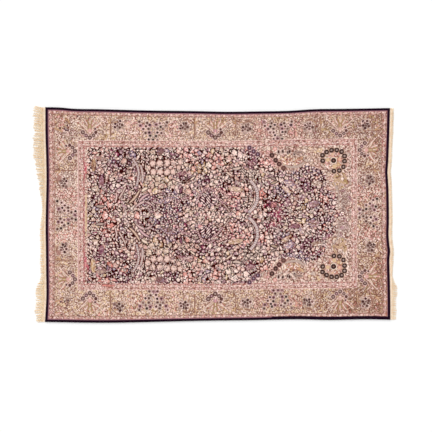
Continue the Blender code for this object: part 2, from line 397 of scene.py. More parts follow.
BIG_FLOWER = 28  # mm: flowers this wide are round, and smaller ones may be drawn out
HEARTED_FLOWER = 20  # mm: flowers wider than this have a heart
MERGED = 16  # percent of neighbours with a thinner outline between them
PETAL_TILT = 0.2  # how far a flower's light side may lie off its middle, as a share of its width


def nearest(flowers, px, py, flow, swirls, chance):
    """Each knot's flower and its next one, and how far out on both it lies: 1 is a flower's rim."""
    best, second = np.full((2, *px.shape), 9.0, np.float32)
    owner, rival = np.zeros((2, *px.shape), np.int32)
    for number, (x, y, size, *_) in enumerate(flowers):
        at = window(x, y, size * 1.6)[0]
        long = chance.choice((1.0, 1.1, 1.25, 1.45)) if size < BIG_FLOWER else 1.04
        turn = flow[np.searchsorted(OUT, y) - 1, np.searchsorted(ALONG, x) - 1]
        for sx, sy, reach in swirls:
            if math.hypot(x - sx, y - sy) < reach and size < BIG_FLOWER:
                long, turn = chance.uniform(1.2, 1.7), math.atan2(y - sy, x - sx) + math.pi / 2
        dx, dy = px[at] - x, py[at] - y
        c, s = math.cos(turn), math.sin(turn)
        scallop = 1 - 0.13 * np.cos(chance.choice((3, 4, 5)) * np.arctan2(dy, dx) + 6.3 * chance.random())
        far = np.hypot((dx * c + dy * s) / long, (dy * c - dx * s) * long)
        d = (far / (size / 2) * scallop).astype(np.float32)
        b, o, near, other = best[at], owner[at], second[at], rival[at]
        nearer, closer = d < b, d < near
        other[...] = np.where(nearer, o, np.where(closer, number, other))
        near[...] = np.where(nearer, b, np.where(closer, d, near))
        o[nearer] = number
        b[nearer] = d[nearer]
    return best, second, owner, rival


def bloom(half, mask, flowers, lines, line, chance, waver=3.4, swirls=(), glints=0.0):
    """Knots packed flowers where mask is true, with broken outlines of three yarns, pale to dark."""
    seed = chance.randrange(9999)
    px, py = ALONG[None, :] + ripples(seed, 5, waver), OUT[:, None] + ripples(seed + 1, 5, waver)
    flow = 3.2 * ripples(seed + 2, 26, 1.0)  # the turn of long flowers, in radians
    best, second, owner, rival = nearest(flowers, px, py, flow, swirls, chance)
    x, y, size = np.array([row[:3] for row in flowers]).T
    petal, tip, heart = np.array([[YARN[name] for name in row[3:]] for row in flowers]).T
    lobes = np.array([chance.choice((1, 2, 2, 3) if row[2] < 21 else (3, 4, 5, 5)) for row in flowers])
    turns = np.array([chance.uniform(0, 6.28) for _ in flowers])
    wide = size[owner]
    wave = np.cos(lobes[owner] * np.arctan2(py - y[owner], px - x[owner]) + turns[owner])
    apart = (second - best) * wide / 4
    made = petal[owner]
    # a lighter side to each flower, and a pale knot or two where a petal turns up
    lift = np.array([(chance.uniform(-PETAL_TILT, PETAL_TILT), chance.uniform(-PETAL_TILT, PETAL_TILT),
                      chance.random() < glints) for _ in flowers])
    lx, ly = px - (x + lift[:, 0] * size)[owner], py - (y + lift[:, 1] * size)[owner]
    made = np.where((np.hypot(lx, ly) < 0.33 * wide) & (wave > -0.45), tip[owner], made)
    made = np.where((wide > HEARTED_FLOWER) & (best < 0.17 + 0.05 * wave), heart[owner], made)
    made = np.where((np.hypot(lx, ly) < 3.2) & (lift[:, 2] > 0)[owner] & (best < 0.8), YARN["ivory"], made)
    strong = ripples(seed + 3, 4, 1.0)
    # the outline runs in a little between two petals
    drawn = np.minimum(apart, np.where((wide > 25) & (wave < -0.8), (1.0 - best) * wide / 2.6, 9))
    drawn = np.where(best > 1.5 + 0.1 * wave, 0.0, drawn)
    joined = (owner * 31 + rival * 31 + owner * rival * 17) % 100 < MERGED
    drawn = np.where(joined & (drawn < 4), drawn + 1.5, drawn)
    for yarn, share, least in zip(lines.split(), (0.85, 0.95, 1.0), (-2.0, -0.7, -0.3)):
        made = np.where((drawn < line * share * (1 + 0.45 * strong) / 2) & (strong > least), YARN[yarn], made)
    half[mask] = made[mask]


def scatter(half, mask, count, yarns, chance, length, width, edge=None):
    """Short curled stems, or specks where the length is none, over a ground."""
    rows, columns = np.nonzero(mask)
    for _ in range(count):
        k = chance.randrange(rows.size)
        x, y, yarn = ALONG[columns[k]], OUT[rows[k]], one_of(yarns, chance)
        if not length:
            if edge:
                spot(half, x + 1.5, y - 1.5, width * 1.7, edge)
            spot(half, x, y, width * chance.uniform(0.8, 1.3), yarn)
            continue
        long, a, curl = chance.uniform(*length) / 2, chance.uniform(0, 6.28), chance.uniform(-1.3, 1.3)
        ends = [(x + side * long * math.cos(a + side * curl), y + side * long * math.sin(a + side * curl))
                for side in (-1, 1)]
        vine(half, [ends[0], (x, y), ends[1]], width * chance.uniform(0.8, 1.2), yarn, edge, rim=2.2, steps=3)


def zone(half, left, right, low, high, yarn):
    """A straight band: left and right in mm from the left end, low and high in mm from the axis."""
    c0, c1 = np.searchsorted(ALONG + LONG / 2, (left, right))
    r0, r1 = np.searchsorted(OUT, (low, high))
    half[r0:r1, c0:c1] = YARN[yarn]


def facing_place(x, y, facing):
    """Places of a motif: across it, and up from its foot towards the rug's edge."""
    c, s = math.cos(math.radians(facing)), math.sin(math.radians(facing))
    return lambda a, b: (x + a * s + b * c, y - a * c + b * s)


# A palmette's necklace: across it, up from its foot, size, heart.
BEADS = ((-43, -11, 25, "dove"), (-23, -30, 21, "lilac"), (0, -43, 25, "dove"), (23, -29, 21, "dove"),
         (37, -11, 19, "smoke"), (33, 10, 12, "smoke"))
FAN = "sand cream tan blush olive cream".split()  # its leaves' yarns, from the sides to the middle
# The curled stems at its sides: up from its foot, yarn.
CURLS = ((-14, "fog"), (-2, "moss"), (8, "cream"), (18, "bark"), (28, "blush"))


def palmette(half, x, y, facing, chance, cup="rose", beads=1.0):
    """A fan of slim leaves over a cup, with a necklace of dark beads round its foot."""
    place = facing_place(x, y, facing)
    for side in (-1, 1):
        for k, (b, yarn) in enumerate(CURLS):
            vine(half, [place(side * 46, b), place(side * 56, b + 7 - k), place(side * 70, b + 5),
                        place(side * (84 - 2 * k), b - 6)], 3.4, yarn)
    for k, angle in enumerate(range(-75, 76, 15)):
        deep = chance.uniform(34, 50)
        sine, cosine = math.sin(math.radians(angle)), math.cos(math.radians(angle))
        leaf(half, *place(deep * sine, 10 + deep * 0.92 * cosine), chance.uniform(30, 50), 5.4,
             facing - angle, FAN[min(k, 10 - k)], edge="tan" if k % 2 else "bark", rim=2.0,
             bend=chance.uniform(-4, 4))
    for a, b in ((-22, 58), (22, 58), (-42, 46), (42, 46), (0, 68), (-12, 30), (12, 30)):
        spot(half, *place(a, b), 8.5, one_of("coral brick pink", chance))
    leaf(half, *place(0, 20), 34, 20, facing, "olive", vein="cream", edge="bark", rim=3)
    leaf(half, *place(0, -2), 26, 24, facing, cup, vein="pink", edge="dusk", rim=3)
    spot(half, *place(0, -14), 12, "blush")
    for side in (-1, 1):
        vine(half, [place(side * a, b) for a, b in ((14, -4), (34, 18), (60, 44), (80, 62))], 4, "blush")
        vine(half, [place(side * a, b) for a, b in ((22, -2), (42, 18), (62, 34))], 4.4,
             "bark" if side < 0 else "brick")
    for a, b, size, heart in BEADS:
        spot(half, *place(a, b), size * beads + 8, "mist")
    for a, b, size, heart in BEADS:
        spot(half, *place(a, b), size * beads + 2, "smoke", heart, 0.48)


def bouquet(half, x, y, facing, chance):
    """Pale leaves with a bunch of dark-hearted flowers on them."""
    place = facing_place(x, y, facing)
    for _ in range(26):
        leaf(half, *place(chance.uniform(-34, 34), chance.uniform(-34, 26)), 20, 9, chance.uniform(0, 180),
             one_of("fog dove mist fog", chance), edge="tan", rim=1.5)
    for a, b in ((-24, -14), (-10, -7), (6, -17), (7, 4), (-5, 14), (-22, 6), (9, 20), (22, -4)):
        at = place(a + chance.uniform(-3, 3), b + chance.uniform(-3, 3))
        spot(half, *at, 23, one_of("mist fog dove", chance))
        spot(half, *at, 16.8, one_of("night smoke slate smoke", chance))
        spot(half, *place(a + 9, b + 8), 6, "shell")
    leaf(half, *place(6, 42), 40, 10, facing + 102, "bark", vein="walnut", edge="tan", rim=2.5)


def bracket(half, x, y, facing, side):
    """The thin brown stem that closes a compartment, with a spray at its outer end."""
    place = facing_place(x, y, facing)
    vine(half, [place(0, -58), place(1, -20), place(0, 30), place(-2, 52)], 4.6, "walnut", "tan", rim=2)
    for a, b in ((16, 36), (28, 44), (-14, 34), (-26, 46), (8, 50), (-6, 54)):
        vine(half, [place(0, 20), place(side * a * 0.5, b - 10), place(side * a, b)], 4,
             "ochre" if a < 0 else "walnut")
    leaf(half, *place(side * 32, 30), 30, 9, facing - 20 - side * 60, "bark", vein="ochre")


# The dots of a lozenge: across it and up from its foot.
DIAMOND = ((0, 10), (26, 8), (18, 32), (26, 52), (49, 52), (27, 78), (61, 76), (45, 92), (20, 103), (39, 113),
           (80, 97), (87, 121))


def diamond(half, x, y, facing, chance):
    """The dotted lozenge between two compartments."""
    place = facing_place(x, y, facing)
    for side in (-1, 1):
        for points, width, yarn in ((((62, 8), (70, 24), (62, 44), (74, 70)), 4.0, "bark"),
                                    (((0, 20), (9, 42), (5, 66), (10, 88)), 4.4, "dove")):
            vine(half, [place(side * a, b) for a, b in points], width, yarn)
    for across, up in DIAMOND:
        for side in ((-1, 1) if across else (1,)):
            at = place(side * across + chance.uniform(-2, 2), up + chance.uniform(-2, 2))
            spot(half, *at, 25, one_of("fog fog mist lilac", chance))
            spot(half, *at, 15.4, one_of("navy smoke smoke smoke slate", chance))


GUARD_STEP = 65.5
GUARD_LINE = 3.2
# place of the guard's middle line, width, how far out it runs
END_GUARDS = rows_of("-1032 30 636 outer, 1033 22 636 outer, -841 22 440 inner, 843 24 440 inner")
SIDE_GUARDS = rows_of("627 21 1040 outer, 438 22 850 inner")
# warm flower, cool flower, its buds
GUARD_YARNS = {"outer": ("blush", "rose", "petal"), "inner": ("shell", "petal", "blush")}


def guards(half, chance):
    """The narrow guards: a flower every 66 mm, warm and cool in turn, with buds between."""
    places = []
    for x, wide, top, name in END_GUARDS:
        places += [(x, y, 90, wide, k, name) for k, y in enumerate(np.arange(8.0, top, GUARD_STEP / 2))]
    for y, wide, far, name in SIDE_GUARDS:
        for side in (-1, 1):
            places += [(side * x, y, 0, wide, k if side > 0 else -1 - k, name)
                       for k, x in enumerate(np.arange(16.4 + side * -8.4, far, GUARD_STEP / 2))]
    for x, y, turn, wide, k, name in places:
        warm, cool, bud = GUARD_YARNS[name]
        place = facing_place(x, y, turn + 90)
        if k % 2 == 0:
            hot = k % 4 == 0
            leaf(half, x, y, 17, wide * 0.55, turn, warm if hot else cool,
                 edge="garnet" if name == "inner" else "dusk", rim=3)
            spot(half, x, y, 7, "coral" if hot else "mauve")
            for side in (-1, 1):
                leaf(half, *place(side * GUARD_STEP * 0.22, side * 2), 12, 8, turn + side * 40,
                     bud if hot else warm, edge="walnut", rim=2)
            continue
        leaf(half, x, y, 15, 12, turn, chance.choice(("rose", cool, "blush", "petal")), edge="dusk", rim=2)
        for side in (-1, 1):
            curl = [place(side * a, side * wide * b) for a, b in ((4, 0.3), (12, 0.36), (18, 0.1))]
            vine(half, curl, 3.4, one_of("dusk walnut brick", chance))
            spot(half, *place(-side * 8, side * wide * 0.34), 6, chance.choice((bud, "petal", "coral")))
            spot(half, *place(side * 21, -side * wide * 0.3), 6.5, one_of("plum umber brick", chance))


FIELD_EDGE = [
    (-810, 423), (244, 421), (275, 376), (312, 345), (337, 301), (374, 278), (449, 264), (492, 276),
    (536, 303), (579, 296), (635, 277), (666, 239), (678, 185), (669, 153), (718, 133),
    (739, 102), (737, 34), (771, 9), (777, -5), (-806, -5), (-810, 423)]


def inside(points):
    """The knots inside a closed outline."""
    found = np.zeros((OUT.size, ALONG.size), bool)
    for (x0, y0), (x1, y1) in zip(points, points[1:]):
        if y0 != y1:
            crosses = (y0 > OUT[:, None]) != (y1 > OUT[:, None])
            found ^= crosses & (ALONG[None, :] < (x1 - x0) * (OUT[:, None] - y0) / (y1 - y0) + x0)
    return found


FIELD = inside(FIELD_EDGE)

# The flowers that stand out: place, size, family.
FLOWERS = rows_of(
    # two rows of large roses, with golden flowers below them
    "-403 322 42 blush, -360 324 43 blush, -314 326 45 blush, -272 327 42 blush, -233 331 37 blush,"
    "-433 294 40 blush, -399 269 42 blush, -357 269 44 blush, -315 269 45 blush, -275 272 41 blush,"
    "-241 298 32 blush, -425 232 38 gold, -370 228 38 gold, -320 220 37 gold, -407 191 38 gold,"
    "-386 154 34 gold, -454 158 40 cream, -351 179 33 gold, -190 190 36 gold, -182 149 34 orange,"
    # beside the long border
    "-399 390 34 gold, -355 401 46 slate, -314 402 36 lilac, -202 374 36 coral, -196 408 34 coral,"
    "-227 367 26 orange, -169 372 32 coral, -149 365 30 green, -110 387 34 grey, -107 357 32 purple,"
    "-80 355 26 lilac, -47 374 34 coral, -15 357 34 coral, 23 319 36 coral, -55 317 32 cream,"
    "-112 303 32 orange, -146 294 30 orange, -76 283 32 orange, -110 279 28 gold, 20 278 34 green,"
    "105 390 42 pale, 139 370 40 pale, 174 365 38 pale, 67 348 36 cream, 55 381 28 cream, 191 326 38 purple,"
    "227 319 34 purple, 197 417 30 purple, 296 326 32 coral, 273 277 32 orange, 303 294 26 crimson,"
    # the left end
    "-714 399 30 coral, -686 405 26 coral, -742 399 26 green, -632 311 44 purple, -666 339 30 lilac,"
    "-579 337 38 orange, -723 213 46 purple, -756 166 38 cream, -760 110 34 purple, -785 101 20 purple,"
    "-699 99 30 hot, -667 65 38 hot, -732 102 22 pale, -596 202 28 lilac, -527 231 30 coral, -698 11 38 hot,"
    "-701 48 24 hot, -770 27 30 gold, -522 374 34 lilac, -599 393 30 mixed, -642 380 26 mixed,"
    "-562 386 28 mixed, -531 11 26 pale, -500 0 36 coral, -449 27 28 cream, -451 23 28 cream,"
    # the middle
    "-308 155 34 slate, -304 121 26 slate, -413 26 30 lilac, -370 0 42 cream, -190 1 34 mixed,"
    "-88 198 34 purple, -93 240 30 lilac, -78 2 36 crimson, -107 69 28 coral, -69 38 30 blush,"
    "46 161 30 crimson, 81 117 28 crimson, 155 128 34 coral, 123 135 28 coral, 179 94 30 orange,"
    "129 4 34 orange, 71 29 32 grey, 179 63 26 green, 99 58 26 coral, 275 136 34 hot, 303 115 26 coral,"
    # the right end
    "376 143 34 slate, 355 118 26 slate, 336 65 34 magenta, 371 6 36 magenta, 381 36 24 crimson,"
    "294 2 30 pale, 253 38 28 coral, 316 31 26 grey, 527 43 30 gold, 595 58 38 lilac, 626 39 30 slate,"
    "618 184 36 green, 668 94 36 hot, 641 116 26 crimson, 719 105 28 crimson, 722 65 26 pale,"
    "713 28 26 slate, 703 5 28 crimson, 604 5 30 mixed, 583 14 26 cream, 517 98 32 lilac, 551 163 28 purple,"
    "569 264 28 crimson, 601 249 28 crimson, 542 232 26 mixed, 449 63 26 mixed"
)

BIG_FAMILIES = "blush pale gold cream orange coral hot magenta".split()
OTHERS_SHARE = 0.74  # of its width in the list above, in the other families

# Beds of small flowers: place, reach along and out, family, flower size. The last is for everywhere else.
FIELD_BEDS = rows_of(
    "-689 58 48 48 hot 21, 145 128 46 26 salmon 21, 278 138 30 36 hot 21, 331 68 36 24 magenta 20,"
    "374 8 52 26 magenta 20, 672 84 34 26 hot 20, -308 133 50 34 slate 19, -267 369 36 22 violet 20,"
    "-246 251 50 16 violet 19, -742 324 55 70 mixed 22, -686 76 75 60 coral 22, -760 58 40 60 grey 20,"
    "-785 14 30 30 gold 20, -605 126 60 50 lilac 19, -599 355 90 70 berries 21, -723 231 30 34 violet 20,"
    "-630 318 34 34 violet 20, -339 65 130 70 berries 18, -407 77 50 40 crimson 17, -357 201 110 55 gold 29,"
    "-171 363 60 50 coral 28, -97 364 45 40 lilac 25, -16 345 60 50 coral 27, 64 369 45 50 cream 27,"
    "-109 289 60 40 orange 27, -91 209 40 40 violet 22, 40 158 60 35 crimson 23, 139 144 70 50 coral 24,"
    "77 77 50 45 coral 20, 207 335 34 50 violet 22, -72 103 75 60 lilac 19, -208 103 60 50 berries 18,"
    "294 308 50 40 coral 22, 213 242 60 50 green 23, 343 65 70 45 crimson 19, 511 273 130 60 lilac 20,"
    "585 259 60 40 berries 18, 405 151 60 45 slate 21, 567 173 60 40 violet 20, 697 84 40 60 berries 19,"
    "591 48 60 40 lilac 19, 449 13 90 40 mixed 20, -644 110 250 330 mixed 22, -320 20 110 110 berries 18,"
    "100 110 500 700 mixed 26, mixed 21"
)

LEAVES = rows_of(  # place, length, width, turn, yarn, vein, edge, bend
    "-707 309 36 10 30 mist - aubergine 0, -729 55 50 16 -4 dove fog aubergine 0,"
    "-758 76 18 6 20 aubergine - - 0, -512 116 112 15 52 tan cream aubergine -8,"
    "-453 161 44 16 30 cream - aubergine 3, -459 110 84 16 40 lilac mist aubergine 8,"
    "-471 74 96 12 26 mist lilac aubergine 10, -425 74 54 11 -30 mist mauve aubergine 4,"
    "-171 308 30 10 60 cream - aubergine 0, -155 231 36 10 40 cream - aubergine 0,"
    "-227 156 36 12 75 plum mauve aubergine 0, 120 291 56 17 8 fog cream aubergine -5,"
    "71 258 48 9 -38 cream - umber 0, 160 270 38 10 -50 fog - aubergine 0, 455 145 32 10 -30 umber - - 0,"
    "350 197 42 11 20 fog olive aubergine 0, 347 222 38 11 -30 dove - aubergine 0,"
    "501 37 38 12 20 cream - aubergine 0"
)
SPRAYS = rows_of(  # place, length, width, turn, yarns
    "-768 312 78 24 88 ochre tan cream gold walnut, -725 350 60 24 -14 dove dusk mauve sand,"
    "112 162 92 30 -8 sand gold cream shell ochre, 427 153 64 24 -36 cream gold shell rose,"
    "445 193 72 34 -14 iris lilac shell slate mist, 598 61 62 38 10 lilac shell iris slate,"
    "521 103 44 28 60 mist ivory iris plum, -353 399 44 34 20 slate mauve indigo iris,"
    "614 187 62 30 0 fog ivory sand moss, -720 215 54 30 100 mauve plum lilac plum,"
    "-304 96 60 30 40 iris shell lilac indigo, -453 157 44 22 30 cream gold ivory sand,"
    "350 59 36 24 20 pink crimson shell magenta, 381 21 32 22 60 magenta pink shell crimson,"
    "207 320 40 26 140 mauve plum mist plum, -221 261 66 20 14 mauve mist plum dusk"
)

# The grey arcs, which have barbs as well.
LEFT_ARC = ((-523, 346), (-500, 308), (-490, 273), (-492, 228), (-502, 184))
INNER_ARC = ((-475, 306), (-469, 275), (-464, 244), (-466, 209))
RIGHT_ARC = ((208, 208), (232, 177), (247, 130), (242, 80), (219, 41), (198, 21))
VINES = (  # points, width, yarn, edge, heart
    (LEFT_ARC, 13, "pewter", "umber"),
    (INNER_ARC, 12, "pewter", "umber"),
    (((-451, 343), (-456, 306), (-445, 263), (-451, 213)), 5, "aubergine"),
    (((-196, 259), (-174, 260), (-159, 249)), 9, "lilac", None, "mist"),
    (((-242, 255), (-237, 246)), 5, "aubergine"),
    (((-223, 264), (-219, 251), (-223, 239)), 5, "aubergine"),
    (((-205, 266), (-201, 254)), 5, "aubergine"),
    (((-212, 199), (-186, 218), (-162, 238)), 6, "aubergine"),
    (((-167, 299), (-174, 326), (-179, 336), (-156, 335)), 6, "aubergine"),
    (((-608, 107), (-591, 138), (-572, 173)), 10, "fog", "umber", "mist"),
    (((-634, 83), (-627, 110), (-629, 136)), 8, "mist", "umber"),
    (((-665, 355), (-649, 390), (-611, 407), (-574, 409), (-537, 396)), 4.6, "aubergine"),
    (((-666, 281), (-630, 260), (-583, 271), (-551, 306), (-540, 349)), 4.6, "aubergine"),
    (((24, 233), (58, 267), (111, 280), (164, 259), (197, 217)), 4.6, "aubergine"),
    (((30, 180), (77, 194), (126, 178), (176, 149)), 4.4, "aubergine"),
    (RIGHT_ARC, 18, "pewter", "umber"),
    (((179, 211), (210, 177), (224, 130), (218, 80), (195, 44)), 4.4, "aubergine"),
    (((-4, 61), (30, 74), (55, 49), (74, 23)), 7, "fog", "umber"),
    (((-280, 226), (-233, 205), (-196, 227), (-146, 258)), 4.6, "aubergine"),
    (((-463, 393), (-445, 356), (-451, 316), (-459, 281)), 5, "aubergine"),
)
HATCH = (-66, 97, 50, 32)  # place, reach along and out
FEATHERS = (  # points, reach of the barbs, yarns of the stem and of pale and dark barbs
    (LEFT_ARC, 5, None, "blush", "dove"),
    (INNER_ARC, 5, None, "blush", "dove"),
    (RIGHT_ARC, 7, None, "shell", "dove"),
    (((-122, 100), (-105, 138), (-72, 160)), 5, "lilac", "blush", "plum"),
    (((-91, 158), (-53, 169), (-19, 151)), 5, "lilac", "blush", "plum"),
    (((-29, 134), (2, 109), (31, 75)), 5, "lilac", "blush", "plum"),
    (((2, 161), (43, 142), (74, 104)), 5, "faded", "blush", "plum"),
    (((-355, 74), (-320, 106), (-270, 112)), 5, "iris", "blush", "indigo"),
    (((-258, 61), (-224, 99), (-180, 113)), 5, "lilac", "blush", "plum"),
)
# Where small flowers turn around a middle: place and reach.
SWIRLS = rows_of("-525 355 75, -593 157 85, 114 188 90, 622 221 70, 337 53 75, -779 82 70, -134 345 60")
# In the lower half alone.
LOW_SPRAYS = rows_of(
    "-667 306 44 18 40 salmon coral shell brick, -717 407 56 12 0 salmon coral shell pink,"
    "-645 399 34 14 20 coral pink shell salmon, -742 380 30 14 60 crimson salmon shell pink,"
    "-776 309 80 19 88 ochre gold cream gold, -680 436 76 11 2 salmon coral garnet salmon,"
    "-804 321 40 12 80 cerise crimson pink cerise, -760 66 46 24 10 cream shell gold rose,"
    "480 74 60 26 0 mauve plum slate lilac"
)


def roses(half, chance):
    """The large roses: pale petals in a dark ring, and five small leaves round the heart."""
    places = [(x, y, size, chance.uniform(0, 180)) for x, y, size, family in FLOWERS if family == "blush"]
    for wider, yarn in ((-0.5, "umber"), (-5.5, "petal"), (-24, "blush")):
        for x, y, size, turn in places:
            wide = size + wider
            leaf(half, x + chance.uniform(-0.6, 0.6), y, wide * 1.04, wide * 0.95, turn, yarn)
    for x, y, size, turn in places:
        for k in range(5):
            a = 1.26 * k + turn
            spot(half, x + size * 0.36 * math.cos(a), y + size * 0.36 * math.sin(a), 6,
                 one_of("walnut dusk", chance))
        spot(half, x, y, 6, "rose")


def hatch(half):
    """The hatched patch beside the axis: broken wavy stripes."""
    x, y, long, wide = HATCH
    dx, dy = ALONG[None, :] - x, OUT[:, None] - y
    area = (dx / long) ** 2 + (dy / wide) ** 2 < 1
    stripe = np.sin((dx * 0.62 + dy * 0.78 + 7 * np.sin(dx / 16)) * 2 * math.pi / 14.5)
    beat = np.sin((dx * 0.78 - dy * 0.62) * 2 * math.pi / 27 + 2.0 * np.sin(dy / 9))
    half[area] = YARN["aubergine"]
    half[area & (stripe > -0.2) & (beat > -0.75)] = YARN["lilac"]
    half[area & (stripe > 0.1) & (beat > 0.0)] = YARN["shell"]


def feather(half, points, barb, stem, pale, dark):
    """Short barbs on both sides of an arc, pale and dark in turn."""
    if stem:
        vine(half, points, 8, stem, "umber", rim=3)
    curve = smooth(points, 7)
    for k, ((x0, y0), (x1, y1)) in enumerate(zip(curve, curve[1:])):
        far = max(math.hypot(x1 - x0, y1 - y0), 1e-6)
        along, across = (x1 - x0) / far, (y1 - y0) / far
        for side in (-1, 1):
            ends = [(x0 + side * across * at - along * at * 0.8, y0 - side * along * at - across * at * 0.8)
                    for at in (0.5, barb)]
            vine(half, ends, 2.6, dark if k % 2 else pale, steps=2)


# Tries, and the share of a flower's size: the second sowing fills the gaps.
FIELD_SOWINGS = ((16000, 0.92), (12000, 0.52))
FIELD_LINE = 5.05  # mm of dark ground between two flowers


def field(half, chance, low):
    """The flower field: packed flowers on dark ground, with the vines and leaves that cross them."""
    flowers = [(x, y, size * (1 if family in BIG_FAMILIES else OTHERS_SHARE), *pick(family, chance))
               for x, y, size, family in FLOWERS]
    for tries, small in FIELD_SOWINGS:
        flowers = sow(flowers, FIELD, FIELD_BEDS, tries, chance, small=small)
    bloom(half, FIELD, flowers, "umber aubergine aubergine", FIELD_LINE, chance, waver=4.2, swirls=SWIRLS,
          glints=0.95)
    roses(half, chance)
    scatter(half, FIELD, 200, "aubergine umber", chance, (8, 20), 3.4)
    scatter(half, FIELD, 260, "mist blush cream shell lilac", chance, (14, 30), 4.4, "aubergine")
    scatter(half, FIELD, 420, "ivory ivory shell", chance, None, 5.8, "aubergine")
    hatch(half)
    for row in VINES:
        vine(half, *row)
    for row in SPRAYS + (LOW_SPRAYS if low else []):
        spray(half, *row[:5], row[5:], chance)
    for row in FEATHERS:
        feather(half, *row)
    for row in LEAVES:
        leaf(half, *row, rim=4.5)
    for x, y in ((198, 417), (223, 394), (249, 375)):
        tile(half, x, y, (33, "lilac"), (27, "indigo"))
        spot(half, x, y, 10, "iris")


RING_MIDDLE = (719, 329)
RING = rows_of("652 328, 650 362, 676 381, 706 393, 739 393, 769 383, 787 356, 787 324, 780 289,"
               "755 266, 721 263")
CHAIN = {(337, 367): "navy", (360, 336): "navy", (382, 312): "night", (409, 286): "smoke"}
SPANDREL_BEDS = rows_of(
    "467 335 75 45 b_tan 18, 300 339 60 60 b_rose 18, 719 332 60 60 b_orange 20, 759 195 50 60 b_olive 20,"
    "604 383 50 40 b_tan 20, 777 83 50 60 b_dove 20, 777 9 50 30 b_dove 18, b_mixed 18"
)
SPANDREL_LINE = 3.8  # mm, as in FIELD_LINE


def spandrel(half, chance):
    """The beige corner pieces beside the field's pointed end."""
    mask = ((ALONG > 244) & (ALONG < LONG / 2 - 238))[None, :] & (OUT[:, None] < 424) & ~FIELD
    bloom(half, mask, sow([], mask, SPANDREL_BEDS, 6000, chance), "tan bark walnut", SPANDREL_LINE, chance)
    scatter(half, mask, 500, "walnut umber dusk smoke", chance, (5, 15), 3.0)
    scatter(half, mask, 420, "ivory shell blush", chance, None, 5.5)
    # the dome and its sprays
    arch = ((387, 324), (412, 305), (443, 294), (477, 291), (508, 298), (533, 316))
    vine(half, arch, 12, "fog", "bark", rim=2.0)
    dx, dy = ALONG[None, :] - 453, OUT[:, None] - 333
    dome = ((dx / 68) ** 2 + (dy / 27) ** 2 < 1) & (dy < 15 - (dx / 26) ** 2)
    half[dome] = YARN["gold"]
    for count, yarns, size in ((80, "gold ochre coral cream ochre", 11), (110, "brick walnut bark", 5.4),
                               (45, "shell ivory", 6), (50, "umber crimson", 4.5)):
        scatter(half, dome, count, yarns, chance, None, size)
    for x, y, turn in ((404, 390, 100), (436, 382, 100), (477, 374, 80), (378, 387, 90),
                       (446, 388, 80), (486, 382, 100)):
        leaf(half, x, y, 21, 13, turn, "night", edge="fog", rim=4)
    leaf(half, 507, 383, 44, 16, 4, "dove", vein="slate", edge="tan", rim=3)
    spot(half, 356, 406, 24, "coral", "blush")
    spray(half, 511, 343, 40, 20, 20, "ochre coral gold ochre".split(), chance)
    for place, yarn in CHAIN.items():
        tile(half, *place, (34, "dusk"), (28, yarn), (12, "slate"))
    # the ring of rosettes
    x, y = RING_MIDDLE
    disc = (ALONG[None, :] - x)**2 + (OUT[:, None] - y)**2 < 58**2
    scatter(half, disc, 60, "sand sand coral rose fog ochre", chance, None, 11)
    scatter(half, disc, 70, "bark walnut brick", chance, (8, 20), 3.0)
    scatter(half, disc, 30, "shell ivory", chance, None, 6)
    for dx, dy, yarn in rows_of("38 6 coral, 30 -26 ochre, -36 4 gold, -6 38 rose, 4 -38 gold"):
        spot(half, x + dx, y + dy, 24, yarn, "gold", 0.5)
    tile(half, x, y, (40, "cream"), (31, "navy"))
    spot(half, x, y, 9, "slate")
    for place in RING:
        tile(half, *place, (34, "tan"), (29, "navy"), (11.5, "dove"))
    # the plant and the crescents beside the far tip
    for x, y, length, turn, yarn in rows_of(
            "740 207 50 30 gold, 771 195 50 150 gold, 756 170 46 90 cream, 728 232 34 60 gold,"
            "793 225 34 120 gold"):
        leaf(half, x, y, length, 10, turn, yarn, vein="bark", edge="tan", rim=2)
    for points in (((771, 102), (781, 109), (796, 100), (808, 117)),
                   ((771, 62), (781, 69), (796, 61), (808, 78))):
        vine(half, points, 6, "slate", "fog", rim=4)
    vine(half, ((691, 140), (746, 142), (784, 155), (821, 182)), 5, "dove")
    vine(half, ((722, 189), (745, 145), (753, 96), (750, 46)), 4.4, "fog", "dove", rim=2)
    leaf(half, 769, 1, 34, 20, 0, "ivory", vein="brick", edge="umber", rim=5)


# Beds as above; each flower of the border is 13 mm across.
BORDER_FLOWER = 13
BORDER_LINE = 3.4
BORDER_BEDS = rows_of(
    "-792 563 75 75 b_tan, -816 630 60 30 b_rose, -717 613 50 50 b_rose, -624 566 40 50 b_dove,"
    "-680 485 60 25 b_olive, -512 530 60 70 b_rose, -283 532 60 70 b_rose, -401 613 60 40 b_olive,"
    "-208 558 40 50 b_dove, -128 508 60 50 b_tan, -14 587 75 50 b_olive, -14 639 90 30 b_orange,"
    "95 508 60 50 b_tan, 188 546 40 50 b_dove, 269 531 55 70 b_rose, 492 525 55 70 b_rose,"
    "374 615 60 40 b_olive, 573 535 45 60 b_dove, 759 570 75 60 b_tan, 833 633 60 40 b_rose,"
    "672 495 50 50 b_olive, 1005 612 80 70 b_deep, 784 532 60 60 b_deep, 920 518 60 60 b_dove,"
    "958 423 60 60 b_deep, 961 299 60 40 b_tan, 922 206 50 50 b_dove, 934 138 95 55 b_coral,"
    "896 39 60 60 b_orange, -975 582 60 60 b_orange, -927 502 50 40 b_dove, -940 405 60 60 b_tan,"
    "-928 312 60 30 b_tan, -954 219 55 50 b_dove, -941 138 80 36 b_coral, -890 76 40 60 b_coral"
)
BORDER_LEFT = (58.0, 198.0)
BORDER_RIGHT = (44.0, 200.0)
BORDER_OUT = (464.0, 614.0)
# The lower half is warmer.
LOW_BEDS = rows_of("802 532 90 110 b_rust, 971 416 70 130 b_rust")
WARMER = {"b_rose": "b_peach", "b_dove": "b_stone", "b_deep": "b_rust"}


